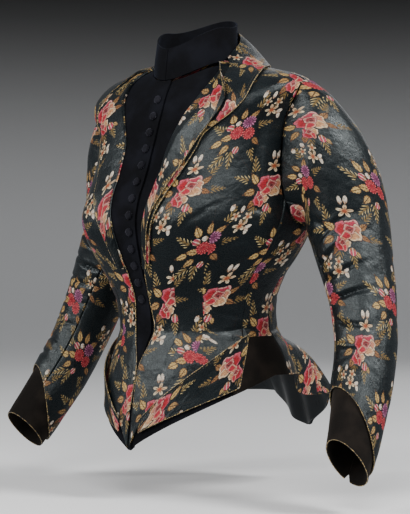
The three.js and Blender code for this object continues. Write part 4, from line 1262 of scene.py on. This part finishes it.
def nearest(elements):
    """The frame of the nearest element, as x, y and tone."""
    best, far = None, None
    for spray, centre, turn, size, tone in elements:
        local = draft.framed(frames[spray], centre, turn, size, tone)
        length = draft.vector("LENGTH", local)
        if best is None:
            best, far = local, length
            continue
        closer = draft.less(length, far)
        best, far = draft.mix(closer, best, local, "VECTOR"), draft.math("MINIMUM", far, length)
    x, y, tone = draft.split(best)
    return x, y, draft.times(tone, 1 / MM)


def polar(x, y):
    radius = draft.math("SQRT", draft.plus(draft.times(x, x), draft.times(y, y)))
    return radius, draft.math("ARCTAN2", y, x)


def wave(value, rate, phase=0.0):
    """sin(rate value + phase)"""
    return draft.math("SINE", draft.line(value, rate, phase))


def over(below, mask, colour):
    return draft.mix(mask, below, colour)


ground = draft.mix(draft.noise(cloth_mm, 0.02, 3.0), paint("090c0e"), paint("141a1d"))
colour, woven = ground, None


def weave_in(mask, paintwork):
    """Lays a figure over what is woven so far."""
    global colour, woven
    colour = over(colour, mask, paintwork)
    woven = mask if woven is None else draft.larger(woven, mask)


# ferns: leaflets slant forward from a stem, long in the middle and short at the tip
x, y, tone = nearest(FERNS)
aside = draft.size(y)
slant = draft.math("FRACT", draft.plus(draft.times(x, 1.6), draft.times(aside, -1.5)))
reach = draft.plus(draft.times(x, -0.4), 0.72)
leaflet = draft.minus(1.0, draft.math("DIVIDE", aside, reach))
lean = draft.size(draft.plus(slant, -0.5))
body = draft.minus(draft.math("SQRT", draft.times(leaflet, 0.12)), lean)
stem = draft.times(draft.less(aside, 0.07), draft.less(draft.size(x), 1.05))
mask = draft.times(draft.step(body, 0.0, 0.06), draft.less(draft.size(x), 1.0))
mask = draft.larger(mask, stem)
gold = draft.mix(tone, paint("8a6a34"), paint("dcc68c"))
weave_in(mask, draft.mix(draft.step(leaflet, 0.3, 1.0), gold, paint("80622e")))

# leaves: (1 - x^2)(0.86 - 0.56 x) with a saw edge, a dark rib and slanting veins
x, y, tone = nearest(LEAVES)
aside = draft.size(y)
taper = draft.larger(draft.line(x, -0.56, 0.86), 0.0)
outline = draft.times(draft.minus(1.0, draft.times(x, x)), taper)
body = draft.minus(draft.plus(outline, draft.times(wave(x, 17.0), 0.07)), aside)
veins = draft.step(wave(draft.plus(x, draft.times(aside, -0.75)), 15.0), -0.1, 0.5)
tan = draft.mix(tone, paint("8a4c18"), paint("d8ac5c"))
tan = draft.mix(draft.times(veins, draft.line(tone, 0.35, 0.25)), tan, paint("ead09a"))
tan = draft.mix(draft.times(draft.step(x, 0.3, 1.0), 0.6), tan, paint("a85a2a"))
tan = draft.mix(draft.step(aside, 0.14, 0.04), tan, paint("4a2a10"))
weave_in(draft.step(body, 0.0, 0.06), draft.mix(draft.step(body, 0.24, 0.12), tan, paint("54341a")))

# star flowers: r below 0.26 + 0.8 |cos 2.5t|^1.5, cream with an amber heart and tan folds
x, y, tone = nearest(STARS)
radius, angle = polar(x, y)
petal = draft.math("POWER", draft.size(draft.math("COSINE", draft.times(angle, 2.5))), 1.5)
body = draft.minus(draft.line(petal, 0.8, 0.26), radius)
cream = draft.mix(draft.step(radius, 0.2, 0.7), paint("c98858"), paint("ecd8b4"))
folds = draft.times(draft.step(petal, 0.9, 1.0), draft.step(radius, 0.8, 0.5))
cream = draft.mix(folds, cream, paint("a8703e"))
cream = draft.mix(draft.times(draft.step(wave(angle, 1.0, 0.9), 0.0, 0.9), 0.45), cream, paint("c89468"))
weave_in(draft.step(body, 0.0, 0.07), draft.mix(draft.step(radius, 0.3, 0.2), cream, paint("b4552e")))

# buds: ellipses, rosy or cream
x, y, tone = nearest(BUDS)
radius, angle = polar(x, y)
bud = draft.mix(draft.step(tone, 0.3, 0.5), paint("c8485c"), paint("efe2cc"))
bud = draft.mix(draft.step(x, 0.1, -0.8), bud, paint("9a6a3c"))
bud_mask = draft.step(radius, 1.0, 0.9)
weave_in(bud_mask, draft.mix(draft.step(wave(y, 7.0, 1.2), 0.5, 0.9), bud, paint("f4d9c8")))

# asters: thin petals round a centre, violet or red
x, y, tone = nearest(ASTERS)
radius, angle = polar(x, y)
rays = wave(draft.plus(draft.times(angle, 13.0), draft.times(radius, 3.0)), 1.0)
body = draft.minus(draft.line(rays, 0.07, 0.93), radius)
deep = draft.mix(draft.step(tone, 0.4, 0.6), paint("a80e26"), paint("7a2a58"))
pale = draft.mix(draft.step(tone, 0.4, 0.6), paint("e66a66"), paint("cc86a6"))
flower = draft.mix(draft.times(draft.step(rays, 0.0, 0.8), draft.step(radius, 0.15, 0.5)), deep, pale)
flower = draft.mix(draft.step(wave(radius, 11.0, draft.times(tone, 3.0)), 0.55, 0.95), flower, deep)
weave_in(draft.step(body, 0.0, 0.05), flower)

# roses: seven rounded petals, each over the one before, with a pale rim and a dark line round it
ROSE_PETALS = [  # centre, turn, half size, inner colour, rim colour
    ((0.30, 0.52), 20, (0.62, 0.46), "c02c48", "f0b4a8"),
    ((0.64, 0.02), 80, (0.60, 0.36), "d88868", "f4dab2"),
    ((0.34, -0.50), -14, (0.66, 0.46), "dca070", "f6e0b8"),
    ((-0.52, 0.14), 84, (0.74, 0.46), "b80820", "e06a7a"),
    ((-0.26, -0.56), 24, (0.46, 0.38), "c42438", "f0b898"),
    ((0.10, 0.12), -20, (0.46, 0.40), "980e22", "e8a898"),
    ((0.16, 0.06), 30, (0.20, 0.17), "640a18", "d07068"),
]
x, y, tone = nearest(ROSES)
place = draft.add("ShaderNodeCombineXYZ")
draft.feed(place.inputs[0], draft.plus(x, draft.times(wave(y, 9.0, 2.0), 0.06)))
draft.feed(place.inputs[1], draft.plus(y, draft.times(wave(x, 8.0), 0.07)))
streaks = draft.noise(draft.vector("MULTIPLY", place.outputs[0], (9.0, 3.0, 1.0)), 1.0, 1.0)
for centre, turn, size, inner, pale in ROSE_PETALS:
    local = draft.framed(place.outputs[0], centre, turn, size)
    radius = draft.vector("LENGTH", local)
    streaked = draft.plus(radius, draft.times(streaks, 0.55))
    petal = draft.mix(draft.step(streaked, 0.8, 1.2), paint(inner), paint(pale))
    petal = draft.mix(draft.step(radius, 0.92, 0.99), petal, paint("4c1218"))
    weave_in(draft.step(radius, 1.06, 1.02), petal)

# threads: warp lines in the satin, weft lines in the figures
WARP_PITCH, WEFT_PITCH = 0.42, 0.62
across, down, _ = draft.split(cloth_mm)
weft = draft.line(wave(down, FULL_TURN / WEFT_PITCH), 0.1, 0.54)
slubs = draft.noise(draft.vector("MULTIPLY", cloth_mm, (0.35, 1.1, 1.0)), 0.9, 3.0)
weft = draft.plus(weft, draft.times(draft.plus(slubs, -0.5), 1.7))
threaded = draft.mix(1.0, colour, weft)
threaded.node.blend_type = "MULTIPLY"
draft.feed(shader.inputs["Base Color"], draft.mix(woven, colour, threaded))
clouded = draft.times(draft.noise(cloth_mm, 0.05, 3.0), 0.34)
streaks = draft.noise(draft.vector("MULTIPLY", cloth_mm, (1.0, 0.3, 1.0)), 0.5)
rough = draft.plus(draft.plus(draft.times(streaks, 0.2), clouded), 0.07)
draft.feed(shader.inputs["Roughness"], draft.mix(woven, rough, 0.62, "FLOAT"))
glint = draft.noise(cloth_mm, 0.7, 2.0)
draft.feed(shader.inputs["Specular IOR Level"], draft.plus(draft.times(glint, 1.3), -0.2))
grain = draft.noise(draft.vector("MULTIPLY", cloth_mm, (0.5, 1.8, 1.0)), 0.8)
raised = draft.plus(draft.times(wave(across, FULL_TURN / WARP_PITCH), 0.02), draft.times(grain, 0.1))
raised = draft.plus(raised, draft.times(draft.noise(cloth_mm, 0.07, 2.0), 1.6))
draft.feed(shader.inputs["Normal"], draft.bump(raised, 0.8, 0.001))
print(len(brocade.node_tree.nodes), "nodes in the brocade")

# %% [markdown]
# ## Velvet, satin and cord
# Velvet is a pile: it looks darkest straight on and lights up at its edges, which is what sheen does.
# Rubbed places lie in slow clouds. The satin is the brocade's ground without its flowers. The cords are
# wound with pale silk.


# %% The plain finishes
def velvet(name, base, rubbed, tint):
    material, draft, shader = new_material(
        name, base, 0.92, Specular_IOR_Level=0.12,
        Sheen_Weight=0.46, Sheen_Roughness=0.32, Sheen_Tint=paint(tint))
    place = draft.object_place()
    clouds = draft.step(draft.noise(place, 0.03, 3.0), 0.4, 0.7)
    nap = draft.noise(draft.vector("MULTIPLY", place, (1.0, 1.0, 0.35)), 2.2, 2.0)
    tone = draft.mix(clouds, paint(base), paint(rubbed))
    draft.feed(shader.inputs["Base Color"], draft.mix(draft.step(nap, 0.45, 0.75), tone, paint(rubbed)))
    draft.feed(shader.inputs["Normal"], draft.bump(nap, 0.35, 0.0006))
    return material


black_velvet = velvet("black_velvet", "050507", "101117", "424a5e")
brown_velvet = velvet("brown_velvet", "100e0c", "201b17", "6a6058")
covered_button = velvet("covered_button", "0d0d11", "1c1c22", "a0a0b4")

satin, draft, shader = new_material("satin", "0d1113", 0.3, Specular_IOR_Level=0.6, Sheen_Weight=0.2)
place = draft.cloth_place()
clouds = draft.noise(place, 0.03, 3.0)
draft.feed(shader.inputs["Base Color"], draft.mix(clouds, paint("0b0e10"), paint("1b2226")))
streaks = draft.noise(draft.vector("MULTIPLY", place, (1.0, 0.05, 1.0)), 1.2, 2.0)
draft.feed(shader.inputs["Roughness"], draft.plus(draft.times(streaks, 0.18), 0.22))

cord, draft, shader = new_material("silk_cord", "8a7c5c", 0.5, Sheen_Weight=0.3)
flecks = draft.step(draft.noise(draft.object_place(), 0.8, 2.0), 0.48, 0.6)
draft.feed(shader.inputs["Base Color"], draft.mix(flecks, paint("1a1916"), paint("bc9f60")))

silk_thread, draft, shader = new_material("silk_thread", "3c3a36", 0.45)
strands = draft.noise(draft.object_place(), 0.4, 1.0)
draft.feed(shader.inputs["Base Color"], draft.mix(strands, paint("24221f"), paint("5a5346")))

FINISHES = {
    "button": covered_button, "cuff": brown_velvet, "hip_panel": brown_velvet, "tail_lining": satin,
    "vest": black_velvet, "hem_band": black_velvet, "collar_stand": black_velvet,
}
TRIM_FINISHES = {"edge_stitching": silk_thread, "buttonholes": covered_button}


def give_finish(piece, name, finishes, usual):
    """Gives the piece the material under the key with which its name starts, or else the usual one."""
    chosen = [material for start, material in finishes.items() if name.startswith(start)]
    piece.data.materials.append([*chosen, usual][0])


for name, made in finished.items():
    give_finish(made["piece"], name, FINISHES, brocade)
for piece in trimmings:
    give_finish(piece, piece.name, TRIM_FINISHES, cord)

# %% [markdown]
# ## The studio
# A long lens from a few metres away keeps the proportions natural. The camera is level with the ribs and
# stands at the wearer's front left. A pale floor rises into a wall all round, so that every view has the
# same plain ground. The wall is painted darker towards its top, as painted shade where less light falls.

# %% Camera
FRAME_HEIGHT_PX, FOCAL_PX, SENSOR_MM = 514, 2090.0, 36.0
CAMERA_PLACE, CAMERA_AZIMUTH = (1.953, -1.936, -0.25), 45 * DEG
camera_data = bpy.data.cameras.new("camera")
camera_data.sensor_fit = "VERTICAL"
camera_data.sensor_height = SENSOR_MM
camera_data.lens = FOCAL_PX / FRAME_HEIGHT_PX * SENSOR_MM
camera = bpy.data.objects.new("camera", camera_data)
camera.location = CAMERA_PLACE
camera.rotation_euler = (90 * DEG, 0, CAMERA_AZIMUTH)
bpy.context.scene.collection.objects.link(camera)
bpy.context.scene.camera = camera

# %% Floor
FLOOR = {"z": -0.56, "flat": 1.2, "step": 0.19, "wall": 4.2,  # in metres
         "steps": 33, "power": 4, "sides": 64}
slope = np.linspace(0, 1, FLOOR["steps"]) ** FLOOR["power"] * np.pi / 2
outwards, upwards = (np.insert(np.cumsum(way(slope[1:])), 0, 0) * FLOOR["step"] for way in (np.cos, np.sin))
r, z = np.concatenate([[0], FLOOR["flat"] + outwards]), np.concatenate([[0], upwards])
r, z = np.append(r, r[-1]), np.append(z, FLOOR["wall"])
t = np.linspace(0, FULL_TURN, FLOOR["sides"] + 1)[:-1]
heights = np.broadcast_to(z[:, None] + FLOOR["z"], (len(r), FLOOR["sides"]))
bowl = np.stack([r[:, None] * np.cos(t), r[:, None] * np.sin(t), heights], -1)
numbers = np.arange(heights.size).reshape(heights.shape)
here, there = numbers[:-1], numbers[1:]
quads = np.stack([here, there, np.roll(there, -1, 1), np.roll(here, -1, 1)], -1).reshape(-1, 4)
floor_mesh = bpy.data.meshes.new("floor")
floor_mesh.from_pydata(bowl.reshape(-1, 3), [], quads)
floor_mesh.polygons.foreach_set("use_smooth", np.ones(len(quads), bool))
floor = bpy.data.objects.new("floor", floor_mesh)
bpy.context.scene.collection.objects.link(floor)
paper, draft, shader = new_material("studio_paper", "b4b4b4", 0.9)
height = draft.split(draft.add("ShaderNodeTexCoord").outputs["Object"])[2]
# painted shade: the paper goes from near white on the floor to dark grey up the wall, standing in for the
# light falling off there
shade = draft.step(height, -0.45, 1.0)
draft.feed(shader.inputs["Base Color"], draft.mix(shade, paint("fbfbfb"), paint("2c2c2c")))
floor.data.materials.append(paper)
floor.visible_glossy = False  # the satin mirrors the lamps and the dim room, not the pale paper


# %% Lights
LAMPS = [  # name, azimuth in degrees from the front, distance, height and size in metres, power in watts
    ("left_softbox", -20, 2.4, 0.75, 1.2, 52),
    ("front_softbox", 46, 2.5, 1.4, 1.2, 44),
    ("right_softbox", 104, 2.3, 1.6, 0.9, 76),
    ("back_softbox", 205, 2.6, 1.0, 1.6, 8),
]
LIT_PLACE = (0, 0, -0.25)
ROOM_COLOUR, ROOM_STRENGTH = (0.6, 0.62, 0.65, 1), 0.33


def softbox(name, azimuth, distance, height, size, power):
    """A square lamp that faces the lit place."""
    lamp_data = bpy.data.lights.new(name, "AREA")
    lamp_data.shape, lamp_data.size, lamp_data.energy = "SQUARE", size, power
    lamp = bpy.data.objects.new(name, lamp_data)
    turn = azimuth * DEG
    place = np.array([np.sin(turn) * distance, -np.cos(turn) * distance, height])
    lamp.location = place
    direction = np.array(LIT_PLACE) - place
    lamp.rotation_euler = (np.arctan2(np.hypot(*direction[:2]), -direction[2]), 0,
                           np.arctan2(direction[1], direction[0]) - np.pi / 2)
    bpy.context.scene.collection.objects.link(lamp)


for lamp in LAMPS:
    softbox(*lamp)
world = bpy.data.worlds.new("studio")
world.use_nodes = True
room = world.node_tree.nodes["Background"].inputs
room["Color"].default_value, room["Strength"].default_value = ROOM_COLOUR, ROOM_STRENGTH
bpy.context.scene.world = world
